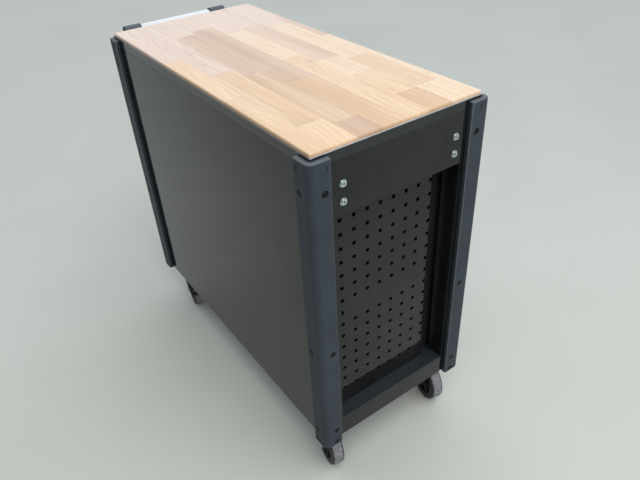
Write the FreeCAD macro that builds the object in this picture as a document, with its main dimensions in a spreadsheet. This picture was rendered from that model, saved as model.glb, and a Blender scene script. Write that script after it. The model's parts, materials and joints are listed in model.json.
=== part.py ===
import FreeCAD, Part
import os
import re
import Sketcher

# Rolling tool cabinet with six drawers, a wooden worktop and four swivel casters.
#
# X runs along the length (-X is the left end, +X the push handle end), Y runs from the drawer
# fronts (-Y) to the back panel (+Y), Z is up. The origin lies on the floor, in the middle of the
# cabinet's plan. All sizes are millimetres.

DOC = FreeCAD.newDocument("RollingToolCabinet")
SHEET = DOC.addObject("Spreadsheet::Sheet", "Sizes")

# Driving dimensions: alias, value, meaning
SIZES = [
    ("body_length", 1019, "steel body, across its two end faces"),
    ("body_depth", 459, "steel body, from drawer fronts to back panel"),
    ("worktop_height", 981, "top of the wooden board above the floor"),
    ("board_gap", 1, "board to the tray's walls"),
    ("board_thickness", 30, "wooden board"),
    ("board_stand", 7, "board standing above the tray rim"),
    ("board_chamfer", 1.5, "broken top edges of the board"),
    ("board_round", 3, "vertical corners of the board"),
    ("casing_sheet", 1.5, "sheet of the casing, walls, trays and fronts"),
    ("base_sheet", 2, "sheet of the base frame"),
    ("wheel_headroom", 5, "tyres to the lower edge of the base frame"),
    ("base_height", 61, "base frame"),
    ("base_bend", 3, "outside bend of the base frame"),
    ("channel_width", 126, "hat channel that carries two casters"),
    ("channel_wall", 3, "sheet of the hat channel"),
    ("weld_gap", 0.05, "gap between sheets that are welded together"),
    ("corner_column", 52.5, "width of the folded corner columns"),
    ("column_return", 9, "flange at the niche's back plane"),
    ("strip_width", 29.5, "column flange on the front and back planes"),
    ("niche_depth", 41.5, "end face to perforated sheet"),
    ("band_height", 127.5, "band above the end niche"),
    ("niche_rail", 15, "upstand behind the niche's ceiling"),
    ("band_screw_inset", 74.5, "band screws from the front and back of the body"),
    ("band_screw_drop", 54.5, "upper band screws below the top of the casing"),
    ("band_screw_pitch", 42, "upper to lower band screws"),
    ("screw_hole", 6.4, "clearance hole for the casing screws"),
    ("slot_width", 30, "open slot beside the perforated sheet"),
    ("hole_size", 10, "square holes of the perforated sheet"),
    ("hole_pitch", 38, "pitch of the square holes"),
    ("hole_margin", 7.6, "sheet edge to the first column of holes"),
    ("hole_border", 40, "least plain height above and below the holes"),
    ("middle_row", 320, "middle row above the base's top sheet"),
    ("keyhole_width", 6.5, "hanging slots in the middle row"),
    ("keyhole_height", 13, "hanging slots in the middle row"),
    ("wall_channel", 16, "perforated sheet to drawer wall"),
    ("wall_flange", 48, "flanges of the drawer walls"),
    ("rebate_gap", 2, "drawer front to the drawer wall behind it"),
    ("seam", 0.5, "gap between neighbouring sheets"),
    ("post_proud", 13, "corner post standing off the steel body"),
    ("post_leg", 54, "leg of the corner post from its outer corner"),
    ("post_wall", 3.5, "moulded wall of the corner post"),
    ("post_corner", 16, "outer corner radius of the post"),
    ("post_edge", 5, "radius along the free edges of the post"),
    ("post_cap_round", 3, "radius round the post's top"),
    ("post_overhang", 5, "lower end of the posts below the base frame"),
    ("post_drop", 14, "upper end of the posts below the worktop"),
    ("post_rib", 2.5, "ribs inside the post"),
    ("post_rib_start", 93.6, "lower end of the post to its first rib"),
    ("post_rib_pitch", 104, "distance between the ribs"),
    ("post_screw_inset", 22.5, "post screws from the steel body's corner"),
    ("post_screw_drop", 86, "uppermost post screw below the worktop"),
    ("post_screw_2", 460, "second post screw above the floor"),
    ("post_screw_rise", 50, "third post screw above the base frame's lower edge"),
    ("post_screw_edge", 5, "lowest post screw above the base frame's lower edge"),
    ("post_mark_drop", 33, "moulded disc near the post's top, below the worktop"),
    ("post_mark_width", 19, "moulded disc near the post's top"),
    ("post_mark_depth", 1, "moulded disc near the post's top"),
    ("counterbore", 16, "counterbores of the post screws"),
    ("counterbore_depth", 7, "counterbores of the post screws"),
    ("socket_head", 11, "head of the post screws"),
    ("socket_head_height", 6, "head of the post screws"),
    ("socket_hex", 5, "hexagon socket across its flats"),
    ("socket_depth", 3, "hexagon socket"),
    ("shank", 6, "shank of the casing screws"),
    ("button_flange", 17, "flange of the band screws"),
    ("button_flange_height", 1.5, "flange of the band screws"),
    ("button_head", 12, "button of the band screws"),
    ("button_height", 5, "height of the band screws' heads"),
    ("button_shank", 12, "length of the band screws behind the band"),
    ("apron_height", 45, "front apron of the top tray"),
    ("apron_return", 14, "return flange under the apron"),
    ("front_gap", 3, "gap between drawer fronts"),
    ("field_gap", 4, "base to lowest drawer"),
    ("pitch_1", 75, "height of drawer 1, the top one"),
    ("pitch_2", 75, "height of drawer 2"),
    ("pitch_3", 75, "height of drawer 3"),
    ("pitch_4", 130, "height of drawer 4"),
    ("pitch_5", 130, "height of drawer 5"),
    ("front_side_gap", 4.5, "corner post to drawer front"),
    ("front_depth", 18.5, "depth of the folded drawer front"),
    ("front_step", 8.5, "setback of the front behind the grip"),
    ("front_return", 14, "return flanges round the back of the drawer front"),
    ("grip_height", 26, "height of the grip profile"),
    ("grip_reach", 20, "reach of the grip profile in front of the setback"),
    ("grip_wall", 2, "wall of the grip profile"),
    ("grip_lip", 13, "downward lip of the grip profile"),
    ("grip_nose", 5, "rounded nose of the grip profile"),
    ("tray_length", 401, "drawer tray along Y"),
    ("tray_raise", 6, "tray floor above the front's lower edge"),
    ("tray_drop", 17, "tray rim below the front's upper edge"),
    ("runner_space", 13, "drawer wall to tray"),
    ("runner_length", 400, "telescopic runner when closed"),
    ("runner_height", 45, "cabinet member of the runner"),
    ("runner_sheet", 1.2, "sheet of the runner members"),
    ("runner_play", 0.7, "ball track between the members"),
    ("runner_leg", 9.5, "legs of the runner members"),
    ("runner_centre", 27, "runner's middle above the tray's floor"),
    ("runner_setback", 6, "runner behind the drawer front"),
    ("lock_inset", 129.5, "lock from the right end"),
    ("lock_drop", 22.5, "lock below the top of the casing"),
    ("lock_face", 24, "face ring of the lock"),
    ("lock_face_height", 3, "face ring of the lock"),
    ("lock_barrel", 18, "barrel of the lock"),
    ("lock_barrel_length", 24, "barrel behind the apron's face"),
    ("lock_play", 0.05, "radial running clearance of the lock"),
    ("key_slot_width", 2, "keyway of the lock"),
    ("key_slot_length", 9, "keyway of the lock"),
    ("lock_rod", 8, "rod from the lock to the locking bar"),
    ("crank_radius", 10, "crank pin from the rod's axis"),
    ("crank_pin", 6, "crank pin"),
    ("crank_sheet", 4, "crank arm"),
    ("crank_edge", 1, "crank arm beyond its pin"),
    ("crank_pin_end", 1, "crank pin behind the locking bar"),
    ("bar_width", 20, "locking bar"),
    ("bar_sheet", 2.5, "locking bar"),
    ("bar_back_gap", 8.6, "back panel's face to the locking bar's back"),
    ("bar_play", 0.4, "locking bar in its guides"),
    ("bar_slot_play", 2.6, "crank slot above and below the pin"),
    ("bar_slot_end", 1, "crank slot beyond the pin's two end places"),
    ("bar_head_reach", 21, "head of the locking bar beside the lock's axis"),
    ("bar_head_half", 12, "head of the locking bar above and below the lock's axis"),
    ("bar_tail", 99, "rim of the lowest tray to the locking bar's lower end"),
    ("hook_width", 8, "locking hooks"),
    ("hook_sheet", 3, "locking hooks"),
    ("hook_tip", 9, "downward tip of the hooks"),
    ("hook_inset", 7.2, "tongue's end to the hook"),
    ("hook_room", 2.4, "hook to the edges of the tongue's slot"),
    ("hook_gap", 2, "open hook above the drawer's tongue"),
    ("tongue_width", 22, "tongue behind the drawer"),
    ("tongue_reach", 23, "tongue behind the drawer"),
    ("guide_width", 36, "guides of the locking bar"),
    ("guide_height", 16, "guides of the locking bar"),
    ("guide_sheet", 2, "guides of the locking bar"),
    ("guide_drop", 45, "guides of the locking bar below the tray rims"),
    ("tube_diameter", 28, "tube of the push handle"),
    ("tube_wall", 2, "tube of the push handle"),
    ("tube_reach", 67.5, "end face to the tube's axis"),
    ("tube_drop", 25, "tube's axis below the worktop"),
    ("tube_play", 0.05, "radial fit of the tube in its brackets"),
    ("bracket_inset", 57.5, "brackets from the front and back of the body"),
    ("bracket_sleeve", 52, "bracket sleeve along the tube"),
    ("bracket_arm", 36, "bracket arm along the tube"),
    ("bracket_ring", 36, "bracket sleeve, outside"),
    ("bracket_wall", 4, "bracket walls"),
    ("bracket_foot", 6, "bracket's screwed foot"),
    ("bracket_below", 17, "foot below its lower screw"),
    ("bracket_above", 23, "foot above its upper screw"),
    ("bracket_toe", 8, "end face to the bracket's lower tip"),
    ("bracket_knee", 19, "end face to the bend in the bracket's lower edge"),
    ("bracket_knee_rise", 34, "foot's lower end to the bend in the bracket's lower edge"),
    ("bracket_heel", 17, "end face to the bend in the bracket's upper edge"),
    ("bracket_heel_rise", 6, "foot's upper end to the bend in the bracket's upper edge"),
    ("bracket_slope", 51.5, "degrees of the arm's edges where they meet the sleeve"),
    ("bracket_hollow_end", 5.4, "tube's axis to the upper end of the arm's hollow"),
    ("bracket_hollow_bend", 20, "end face to the bend in the arm's hollow"),
    ("bracket_hollow_rise", 2, "foot's upper end to the bend in the arm's hollow"),
    ("caster_inset_x", 85.5, "swivel axes from the ends of the body"),
    ("caster_inset_y", 44.5, "swivel axes from the front and back of the body"),
    ("caster_crown", 30, "tyre's top to mounting face"),
    ("caster_turn", 12, "degrees that the forks point away from -X at rest, towards the back"),
    ("wheel_diameter", 125, "tyre"),
    ("wheel_width", 36, "tyre"),
    ("tyre_depth", 13, "tyre's radial thickness"),
    ("tyre_shoulder", 7, "rounded shoulders of the tyre"),
    ("trail", 42, "swivel axis to wheel axis"),
    ("plate_length", 105, "caster plate along X"),
    ("plate_width", 78, "caster plate along Y"),
    ("plate_sheet", 3, "caster plate"),
    ("plate_hole_x", 80, "bolt holes of the caster plate"),
    ("plate_hole_y", 60, "bolt holes of the caster plate"),
    ("plate_hole", 9, "bolt holes of the caster plate"),
    ("bolt", 8, "bolts of the caster plate"),
    ("bolt_head", 13, "bolt heads and nuts across their flats"),
    ("bolt_head_height", 5, "bolt heads and nuts"),
    ("plate_corner", 8, "plate corners"),
    ("race_diameter", 60, "ball race under the plate"),
    ("race_height", 6, "ball race under the plate"),
    ("race_gap", 0.3, "running gap of the ball race"),
    ("king_pin", 12, "pin through the fork's crown"),
    ("king_head", 18, "head under the fork's crown"),
    ("king_head_height", 4, "head under the fork's crown"),
    ("bore_play", 0.05, "radial running clearance of pins"),
    ("fork_sheet", 3, "legs and crown of the fork"),
    ("wheel_side_gap", 3.5, "tyre to the legs of the fork"),
    ("fork_eye", 13, "radius of the leg's lower end"),
    ("fork_rear_slope", 12, "degrees of the leg's rear edge at its lower end"),
    ("fork_front_slope", 40, "degrees of the leg's front edge at its lower end"),
    ("fork_brow", 15, "upright front edge of the legs"),
    ("fork_front", 24, "front edge of the fork's crown"),
    ("fork_back", 24, "rear edge of the fork's crown"),
    ("axle", 8, "axle bolt"),
    ("axle_head", 13, "axle bolt's head"),
    ("axle_head_height", 5, "axle bolt's head"),
    ("hub_diameter", 28, "boss of the wheel hub"),
    ("hub_web", 6, "web of the wheel hub"),
    ("rim_wall", 6, "rim of the wheel hub"),
    ("hub_rib", 4, "ribs of the wheel hub"),
    ("hub_rib_root", 1, "ends of the ribs inside boss and rim"),
    ("hub_end_play", 0.2, "boss to the legs of the fork"),
    ("hub_setback", 1, "rim behind the tyre's sides"),
    ("hub_rib_setback", 3, "ribs behind the tyre's sides"),
    ("hub_ribs", 6, "number of ribs"),
    ("brake_pivot_lead", 6, "brake pivot ahead of the wheel's axle"),
    ("brake_pivot_rise", 37.5, "brake pivot above the wheel's axle"),
    ("brake_pin", 6, "brake pivot pins"),
    ("brake_arm", 6, "brake pivot to the arm's upper and lower edges"),
    ("brake_sheet", 2.5, "brake arms and pedal"),
    ("brake_play", 0.5, "fork to brake arm"),
    ("brake_shoe_gap", 3.5, "tyre's rearmost point to the pedal"),
    ("brake_pedal_length", 18, "pedal"),
    ("brake_pedal_rise", 27.5, "pedal's underside above the wheel's axle"),
]

PITCHES = 6
CORNERS = {
    "rear_left": (-1, 1),
    "rear_right": (1, 1),
    "front_right": (1, -1),
    "front_left": (-1, -1),
}
BRAKED = ("front_right", "rear_right")

for row, (alias, amount, meaning) in enumerate(SIZES, start=1):
    SHEET.set(f"A{row}", meaning)
    SHEET.set(f"B{row}", str(amount))
    SHEET.setAlias(f"B{row}", alias)
DOC.recompute()
ALIASES = {alias for alias, amount, meaning in SIZES}

# Places that several pieces share, worked out from the driving dimensions
PLACES = {
    "half_length": "body_length / 2",
    "half_depth": "body_depth / 2",
    "base_bottom": "wheel_diameter + wheel_headroom",
    "base_top": "base_bottom + base_height",
    "body_top": "worktop_height - board_thickness - casing_sheet",
    "rim_top": "worktop_height - board_stand",
    "field_top": "body_top - apron_height",
    "niche_top": "body_top - band_height",
    "niche_side": "half_depth - corner_column",
    "niche_back": "half_length - niche_depth",
    "wall_outside": "niche_back - wall_channel",
    "wall_inside": "wall_outside - casing_sheet",
    "strip_end": "half_length - strip_width",
    "rear_face": "half_depth - casing_sheet",
    "perforated_edge": "column_return + slot_width - niche_side",
    "perforated_far_edge": "niche_side - seam",
    "hole_middle": "base_top + middle_row",
    "hole_columns": "floor((perforated_far_edge - perforated_edge - 2 * hole_margin) / hole_pitch) + 1",
    "hole_rows_above": "floor((niche_top - hole_middle - hole_border) / hole_pitch)",
    "hole_rows_below": "floor((middle_row - hole_border) / hole_pitch)",
    "post_top": "worktop_height - post_drop",
    "post_bottom": "base_bottom - post_overhang",
    "post_screw_1": "worktop_height - post_screw_drop",
    "post_screw_3": "base_bottom + post_screw_rise",
    "post_screw_4": "base_bottom + post_screw_edge",
    "post_mark_height": "worktop_height - post_mark_drop",
    "first_rib": "post_bottom + post_rib_start",
    "post_ribs": "floor((post_top - post_wall - post_rib - first_rib) / post_rib_pitch) + 1",
    "band_screw_y": "half_depth - band_screw_inset",
    "band_screw_high": "body_top - band_screw_drop",
    "band_screw_low": "band_screw_high - band_screw_pitch",
    "front_half": "half_length + post_proud - post_leg - front_side_gap",
    "tray_front": "front_depth - half_depth",
    "tray_half": "wall_inside - runner_space",
    "tray_rear": "tray_front + tray_length",
    "runner_front": "tray_front + runner_setback",
    "lock_x": "half_length - lock_inset",
    "lock_z": "body_top - lock_drop",
    "bar_back": "half_depth - bar_back_gap",
    "bar_front": "bar_back - bar_sheet",
    "tongue_end": "tray_rear + tongue_reach",
    "hook_front": "tongue_end - hook_inset - hook_sheet",
    "hook_back": "tongue_end - hook_inset",
    "tube_x": "half_length + tube_reach",
    "tube_height": "worktop_height - tube_drop",
    "bracket_outer": "half_depth - bracket_inset",
    "bracket_inner": "bracket_outer - bracket_sleeve",
    "bracket_cheek": "bracket_outer - bracket_arm",
    "bracket_low": "band_screw_low - bracket_below",
    "bracket_high": "band_screw_high + bracket_above",
    "caster_x": "half_length - caster_inset_x",
    "caster_y": "half_depth - caster_inset_y",
    "caster_height": "wheel_diameter + caster_crown",
    "plate_underside": "caster_height - plate_sheet",
    "crown_top": "plate_underside - race_height - race_gap - fork_sheet",
    "axle_height": "wheel_diameter / 2",
    "leg_inside": "wheel_width / 2 + wheel_side_gap",
    "leg_outside": "leg_inside + fork_sheet",
    "rim_radius": "axle_height - tyre_depth",
    "brake_pivot_x": "trail - brake_pivot_lead",
    "brake_pivot_z": "axle_height + brake_pivot_rise",
    "brake_pedal_z": "axle_height + brake_pedal_rise",
    "brake_shoe": "trail + axle_height + brake_shoe_gap",
    "brake_reach": "brake_shoe + brake_pedal_length",
}


def pitch(number):
    """Height of one drawer's share of the front; the lowest drawer takes what is left."""
    if number < PITCHES:
        return f"pitch_{number}"
    above = " - ".join(f"pitch_{n}" for n in range(1, PITCHES))
    return f"(field_top - base_top - field_gap - {above})"


def front_top(number):
    """Upper edge of a drawer front."""
    above = "".join(f" - pitch_{n}" for n in range(1, number))
    return f"(field_top{above} - front_gap / 2)"


def front_bottom(number):
    """Lower edge of a drawer front."""
    return f"({front_top(number)} - {pitch(number)} + front_gap)"


def tray_top(number):
    """Rim of a drawer's tray."""
    return f"({front_top(number)} - tray_drop)"


def runner_middle(number):
    """Height of the middle of a drawer's runners."""
    return f"({front_bottom(number)} + tray_raise + runner_centre)"


def bind(text):
    """Turns plain size and place names into references to the sheet's cells."""

    def refer(match):
        name = match.group()
        if name in PLACES:
            return f"({bind(PLACES[name])})"
        return f"Sizes.{name}" if name in ALIASES else name

    return re.sub(r"[a-z_]\w*", refer, text)


def value(text):
    """The present value of an expression of size names."""
    return float(SHEET.evalExpression(bind(str(text))))


def new_body(label):
    """A sub-part: its label is also the name of its file."""
    body = DOC.addObject("PartDesign::Body", label)
    body.Label = label
    body.AllowCompound = True
    return body


def origin(body, role):
    """One of the body's own origin planes or axes."""
    return [feature for feature in body.Origin.OriginFeatures if feature.Role == role][0]


def sketch_on(body, plane, at):
    """A sketch on the XY, XZ or YZ plane, moved to a place along the third axis."""
    sketch = body.newObject("Sketcher::SketchObject", "Sketch")
    sketch.AttachmentSupport = [(origin(body, plane + "_Plane"), "")]
    sketch.MapMode = "FlatFace"
    sign = "-" if plane == "XZ" else ""
    sketch.setExpression("AttachmentOffset.Base.z", bind(f"{sign}({at})"))
    return sketch


def place_point(sketch, geometry, end, u, v):
    """Ties one point of a sketch to two expressions."""
    for kind, text in (("DistanceX", u), ("DistanceY", v)):
        index = sketch.addConstraint(Sketcher.Constraint(kind, -1, 1, geometry, end, value(text)))
        sketch.setExpression(f"Constraints[{index}]", bind(str(text)))


def polygon(sketch, corners):
    """A closed outline through corners that are given as pairs of expressions."""
    first = sketch.GeometryCount
    points = [FreeCAD.Vector(value(u), value(v), 0) for u, v in corners]
    count = len(points)
    for index in range(count):
        sketch.addGeometry(Part.LineSegment(points[index], points[(index + 1) % count]))
    for index in range(count):
        following = first + (index + 1) % count
        sketch.addConstraint(Sketcher.Constraint("Coincident", first + index, 2, following, 1))
    for index, (u, v) in enumerate(corners):
        place_point(sketch, first + index, 1, u, v)


def rectangle(sketch, low_u, low_v, high_u, high_v):
    """An upright rectangle between two corners."""
    polygon(sketch, [(low_u, low_v), (high_u, low_v), (high_u, high_v), (low_u, high_v)])


def circle(sketch, u, v, diameter):
    """A circle with its centre and diameter tied to expressions."""
    centre = FreeCAD.Vector(value(u), value(v), 0)
    radius = value(diameter) / 2
    index = sketch.addGeometry(Part.Circle(centre, FreeCAD.Vector(0, 0, 1), radius))
    place_point(sketch, index, 3, u, v)
    limit = sketch.addConstraint(Sketcher.Constraint("Diameter", index, 2 * radius))
    sketch.setExpression(f"Constraints[{limit}]", bind(f"{diameter}"))


def hexagon(sketch, u, v, flats):
    """A hexagon with two upright corners, by the distance across its flats."""
    corners = []
    for step in range(6):
        angle = 60 * step + 30
        reach = f"{flats} / 2 / cos(30 deg)"
        corners.append((f"{u} + {reach} * cos({angle} deg)", f"{v} + {reach} * sin({angle} deg)"))
    polygon(sketch, corners)


def pad(body, plane, start, end, *draw):
    """Material between two places along the axis that stands on the sketch's plane."""
    sketch = sketch_on(body, plane, start)
    for shape in draw:
        shape[0](sketch, *shape[1:])
    feature = body.newObject("PartDesign::Pad", "Pad")
    feature.Profile = sketch
    feature.Reversed = plane == "XZ"
    feature.setExpression("Length", bind(f"{end} - ({start})"))
    return feature


def pocket(body, plane, start, end, *draw):
    """A cut between two places along the axis that stands on the sketch's plane."""
    sketch = sketch_on(body, plane, start)
    for shape in draw:
        shape[0](sketch, *shape[1:])
    feature = body.newObject("PartDesign::Pocket", "Pocket")
    feature.Profile = sketch
    feature.Reversed = plane != "XZ"
    feature.setExpression("Length", bind(f"{end} - ({start})"))
    return feature


def revolve(body, plane, axis, at, corners):
    """A turned piece: the outline's corners are given on the plane, round one of its axes."""
    sketch = sketch_on(body, plane, at)
    polygon(sketch, corners)
    feature = body.newObject("PartDesign::Revolution", "Revolution")
    feature.Profile = sketch
    feature.ReferenceAxis = (sketch, [axis])
    feature.Angle = 360
    return feature


def mirror(body, plane):
    """The whole body and its mirror image."""
    feature = body.newObject("PartDesign::Mirrored", "Mirrored")
    feature.TransformMode = "Whole shape"
    feature.MirrorPlane = (origin(body, plane + "_Plane"), [""])
    body.Tip = feature
    return feature


def repeat(body, original, axis, spacing, count, second_axis=None, second_spacing=None, second_count=None):
    """A row, or a grid, of copies of one feature along the body's own axes."""
    feature = body.newObject("PartDesign::LinearPattern", "LinearPattern")
    feature.Originals = [original]
    feature.Direction = (origin(body, axis + "_Axis"), [""])
    feature.Mode = "Spacing"
    feature.setExpression("Offset", bind(spacing))
    feature.setExpression("Occurrences", bind(count))
    if second_axis:
        number = int(value(second_count))
        feature.Direction2 = (origin(body, second_axis + "_Axis"), [""])
        feature.Mode2 = "Spacing"
        feature.Occurrences2 = number
        feature.setExpression("Offset2", bind(second_spacing))
        feature.Spacings2 = [-1.0] * (number - 1)
    body.Tip = feature
    return feature


def edges_along(axis, places):
    """Picks straight edges parallel to an axis that pass through places on the other two axes."""
    others = [i for i in range(3) if i != "XYZ".index(axis)]
    targets = [[value(text) for text in place] for place in places]

    def pick(edge):
        if len(edge.Vertexes) != 2 or not isinstance(edge.Curve, Part.Line):
            return False
        first, second = (vertex.Point for vertex in edge.Vertexes)
        if any(abs(first[i] - second[i]) > 0.001 for i in others):
            return False
        return any(all(abs(first[i] - t) < 0.01 for i, t in zip(others, target)) for target in targets)

    return pick


def edges_level(height):
    """Picks the edges that lie at one height."""
    level = value(height)

    def pick(edge):
        box = edge.BoundBox
        return abs(box.ZMin - level) < 0.01 and abs(box.ZMax - level) < 0.01

    return pick


def dress(body, kind, size_name, amount, pick):
    """A fillet or chamfer on the picked edges of the body as it stands."""
    DOC.recompute()
    base = body.Tip
    names = [f"Edge{i + 1}" for i, edge in enumerate(base.Shape.Edges) if pick(edge)]
    if not names:
        raise ValueError(f"no edge to dress on {body.Label}")
    feature = body.newObject("PartDesign::" + kind, kind)
    feature.Base = (base, names)
    feature.setExpression(size_name, bind(amount))
    return feature


def fillet(body, radius, pick):
    """Rounds the picked edges."""
    return dress(body, "Fillet", "Radius", radius, pick)


def chamfer(body, width, pick):
    """Breaks the picked edges."""
    return dress(body, "Chamfer", "Size", width, pick)


def move_to(body, x="0", y="0", z="0", turn=0):
    """Turns a sub-part about Z and ties its place to expressions."""
    body.Placement = FreeCAD.Placement(FreeCAD.Vector(0, 0, 0), FreeCAD.Rotation(turn, 0, 0))
    for axis, text in (("x", x), ("y", y), ("z", z)):
        body.setExpression(f"Placement.Base.{axis}", bind(text))


# Worktop and the tray that holds it


def make_worktop():
    """Board of glued staves, with broken edges."""
    body = new_body("worktop_board")
    along = "(half_length - casing_sheet - board_gap)"
    across = "(half_depth - casing_sheet - board_gap)"
    pad(body, "XY", "body_top + casing_sheet", "worktop_height",
        (rectangle, f"-{along}", f"-{across}", along, across))
    corners = [(f"{i}{along}", f"{j}{across}") for i in ("-", "") for j in ("-", "")]
    fillet(body, "board_round", edges_along("Z", corners))
    chamfer(body, "board_chamfer", edges_level("worktop_height"))


def make_top_tray():
    """Pan round the board, with a front apron that carries the lock."""
    body = new_body("top_tray")
    outer = ("half_length", "half_depth")
    inner = ("(half_length - casing_sheet)", "(half_depth - casing_sheet)")
    pad(body, "XY", "body_top", "rim_top", (rectangle, f"-{outer[0]}", f"-{outer[1]}", outer[0], outer[1]))
    corners = [(f"{i}{outer[0]}", f"{j}{outer[1]}") for i in ("-", "") for j in ("-", "")]
    fillet(body, "board_round", edges_along("Z", corners))
    pocket(body, "XY", "body_top + casing_sheet", "rim_top",
           (rectangle, f"-{inner[0]}", f"-{inner[1]}", inner[0], inner[1]))
    face = "-half_depth"
    apron_back = f"({face} + casing_sheet)"
    apron_end = "(strip_end - seam)"
    pad(body, "YZ", f"-{apron_end}", apron_end,
        (rectangle, face, "field_top", apron_back, "body_top + casing_sheet"))
    pad(body, "YZ", "-front_half", "front_half",
        (rectangle, face, "field_top", f"{face} + apron_return", "field_top + casing_sheet"))
    pocket(body, "XZ", face, apron_back, (circle, "lock_x", "lock_z", "lock_barrel + 2 * lock_play"))


# Base frame and casing


def make_base_frame():
    """Inverted pan, and two hat channels welded inside it that carry the casters."""
    body = new_body("base_frame")
    front = "-half_depth"
    pad(body, "XY", "base_bottom", "base_top", (rectangle, "-half_length", front, "half_length", "rear_face"))
    upright = [(f"{i}half_length", j) for i in ("-", "") for j in (front, "rear_face")]
    fillet(body, "base_bend", edges_along("Z", upright))
    fillet(body, "base_bend", edges_level("base_top"))
    inside = ("(half_length - base_sheet)", f"({front} + base_sheet)", "(rear_face - base_sheet)")
    pocket(body, "XY", "base_bottom", "base_top - base_sheet",
           (rectangle, f"-{inside[0]}", inside[1], inside[0], inside[2]))
    under = "(base_top - base_sheet - weld_gap)"
    for side in ("-", ""):
        low, high = f"({side}caster_x - channel_width / 2)", f"({side}caster_x + channel_width / 2)"
        pad(body, "XZ", f"{inside[1]} + weld_gap", f"{inside[2]} - weld_gap",
            (polygon, [
                (low, under),
                (low, "caster_height"),
                (high, "caster_height"),
                (high, under),
                (f"{high} - channel_wall", under),
                (f"{high} - channel_wall", "caster_height + channel_wall"),
                (f"{low} + channel_wall", "caster_height + channel_wall"),
                (f"{low} + channel_wall", under),
            ]))
    plate_holes = [
        (circle, f"{i}caster_x + {k}plate_hole_x / 2", f"{j}caster_y + {m}plate_hole_y / 2", "plate_hole")
        for i in ("-", "") for j in ("-", "") for k in ("-", "") for m in ("-", "")
    ]
    pocket(body, "XY", "caster_height", "caster_height + channel_wall", *plate_holes)
    heights = ("post_screw_3", "post_screw_4")
    end_holes = [
        (circle, f"{j}(half_depth - post_screw_inset)", height, "screw_hole")
        for j in ("-", "") for height in heights
    ]
    pocket(body, "YZ", "-half_length", f"-{inside[0]}", *end_holes)
    pocket(body, "YZ", inside[0], "half_length", *end_holes)
    front_holes = [
        (circle, f"{i}(half_length - post_screw_inset)", height, "screw_hole")
        for i in ("-", "") for height in heights
    ]
    pocket(body, "XZ", front, inside[1], *front_holes)


def make_end_frame(label, turn):
    """Two folded corner columns, the band above the niche and its ceiling, welded together."""
    body = new_body(label)
    outside = "-half_length"
    back = "-niche_back"
    sheet = "casing_sheet"
    for side in ("-", ""):
        face = f"{side}half_depth"
        niche = f"{side}niche_side"
        flange = f"{niche} {'+' if side == '-' else '-'} column_return"
        face_in = f"({face} {'+' if side == '-' else '-'} {sheet})"
        niche_in = f"({niche} {'-' if side == '-' else '+'} {sheet})"
        pad(body, "XY", "base_top", "body_top",
            (polygon, [
                ("-strip_end", face),
                (outside, face),
                (outside, niche),
                (f"{back} - {sheet}", niche),
                (f"{back} - {sheet}", flange),
                (back, flange),
                (back, niche_in),
                (f"{outside} + {sheet}", niche_in),
                (f"{outside} + {sheet}", face_in),
                ("-strip_end", face_in),
            ]))
    pad(body, "YZ", outside, f"{outside} + {sheet}",
        (rectangle, f"-(niche_side + {sheet})", "niche_top", f"niche_side + {sheet}", "body_top"))
    pad(body, "XZ", f"-(niche_side + {sheet})", f"niche_side + {sheet}",
        (polygon, [
            (outside, "niche_top"),
            (back, "niche_top"),
            (back, "niche_top + niche_rail"),
            (f"{back} - {sheet}", "niche_top + niche_rail"),
            (f"{back} - {sheet}", f"niche_top + {sheet}"),
            (outside, f"niche_top + {sheet}"),
        ]))
    pad(body, "XY", f"body_top - {sheet}", "body_top",
        (rectangle, outside, "-rear_face", back, "rear_face"))
    band_holes = [
        (circle, f"{j}band_screw_y", height, "screw_hole")
        for j in ("-", "") for height in ("band_screw_high", "band_screw_low")
    ]
    post_heights = ("post_screw_1", "post_screw_2")
    end_holes = [
        (circle, f"{j}(half_depth - post_screw_inset)", height, "screw_hole")
        for j in ("-", "") for height in post_heights
    ]
    pocket(body, "YZ", outside, f"{outside} + {sheet}", *band_holes, *end_holes)
    across = "-(half_length - post_screw_inset)"
    face_holes = [(circle, across, height, "screw_hole") for height in post_heights]
    pocket(body, "XZ", "-half_depth", f"-half_depth + {sheet}", *face_holes)
    pocket(body, "XZ", f"half_depth - {sheet}", "half_depth", *face_holes)
    move_to(body, turn=turn)


def make_perforated_panel(label, turn):
    """Back of the niche: square holes at an even pitch, and one edge folded to the drawer wall."""
    body = new_body(label)
    face = "-niche_back"
    pad(body, "XY", "base_top + seam", "niche_top + niche_rail",
        (polygon, [
            (face, "perforated_far_edge"),
            (face, "perforated_edge"),
            ("-wall_outside", "perforated_edge"),
            ("-wall_outside", "perforated_edge + casing_sheet"),
            (f"{face} + casing_sheet", "perforated_edge + casing_sheet"),
            (f"{face} + casing_sheet", "perforated_far_edge"),
        ]))
    column = "(perforated_edge + hole_margin)"
    fields = (("(hole_middle + hole_pitch)", "hole_rows_above"),
              ("(hole_middle - hole_rows_below * hole_pitch)", "hole_rows_below"))
    for lowest, rows in fields:
        hole = pocket(body, "YZ", face, f"{face} + casing_sheet",
                      (rectangle, f"{column} - hole_size / 2", f"{lowest} - hole_size / 2",
                       f"{column} + hole_size / 2", f"{lowest} + hole_size / 2"))
        repeat(body, hole, "Y", "hole_pitch", "hole_columns", "Z", "hole_pitch", rows)
    slots = []
    for place in (column, f"({column} + (hole_columns - 1) * hole_pitch)"):
        slots.append((rectangle, f"{place} - keyhole_width / 2", "hole_middle - keyhole_height / 2",
                      f"{place} + keyhole_width / 2", "hole_middle + keyhole_height / 2"))
    pocket(body, "YZ", face, f"{face} + casing_sheet", *slots)
    move_to(body, turn=turn)


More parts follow.
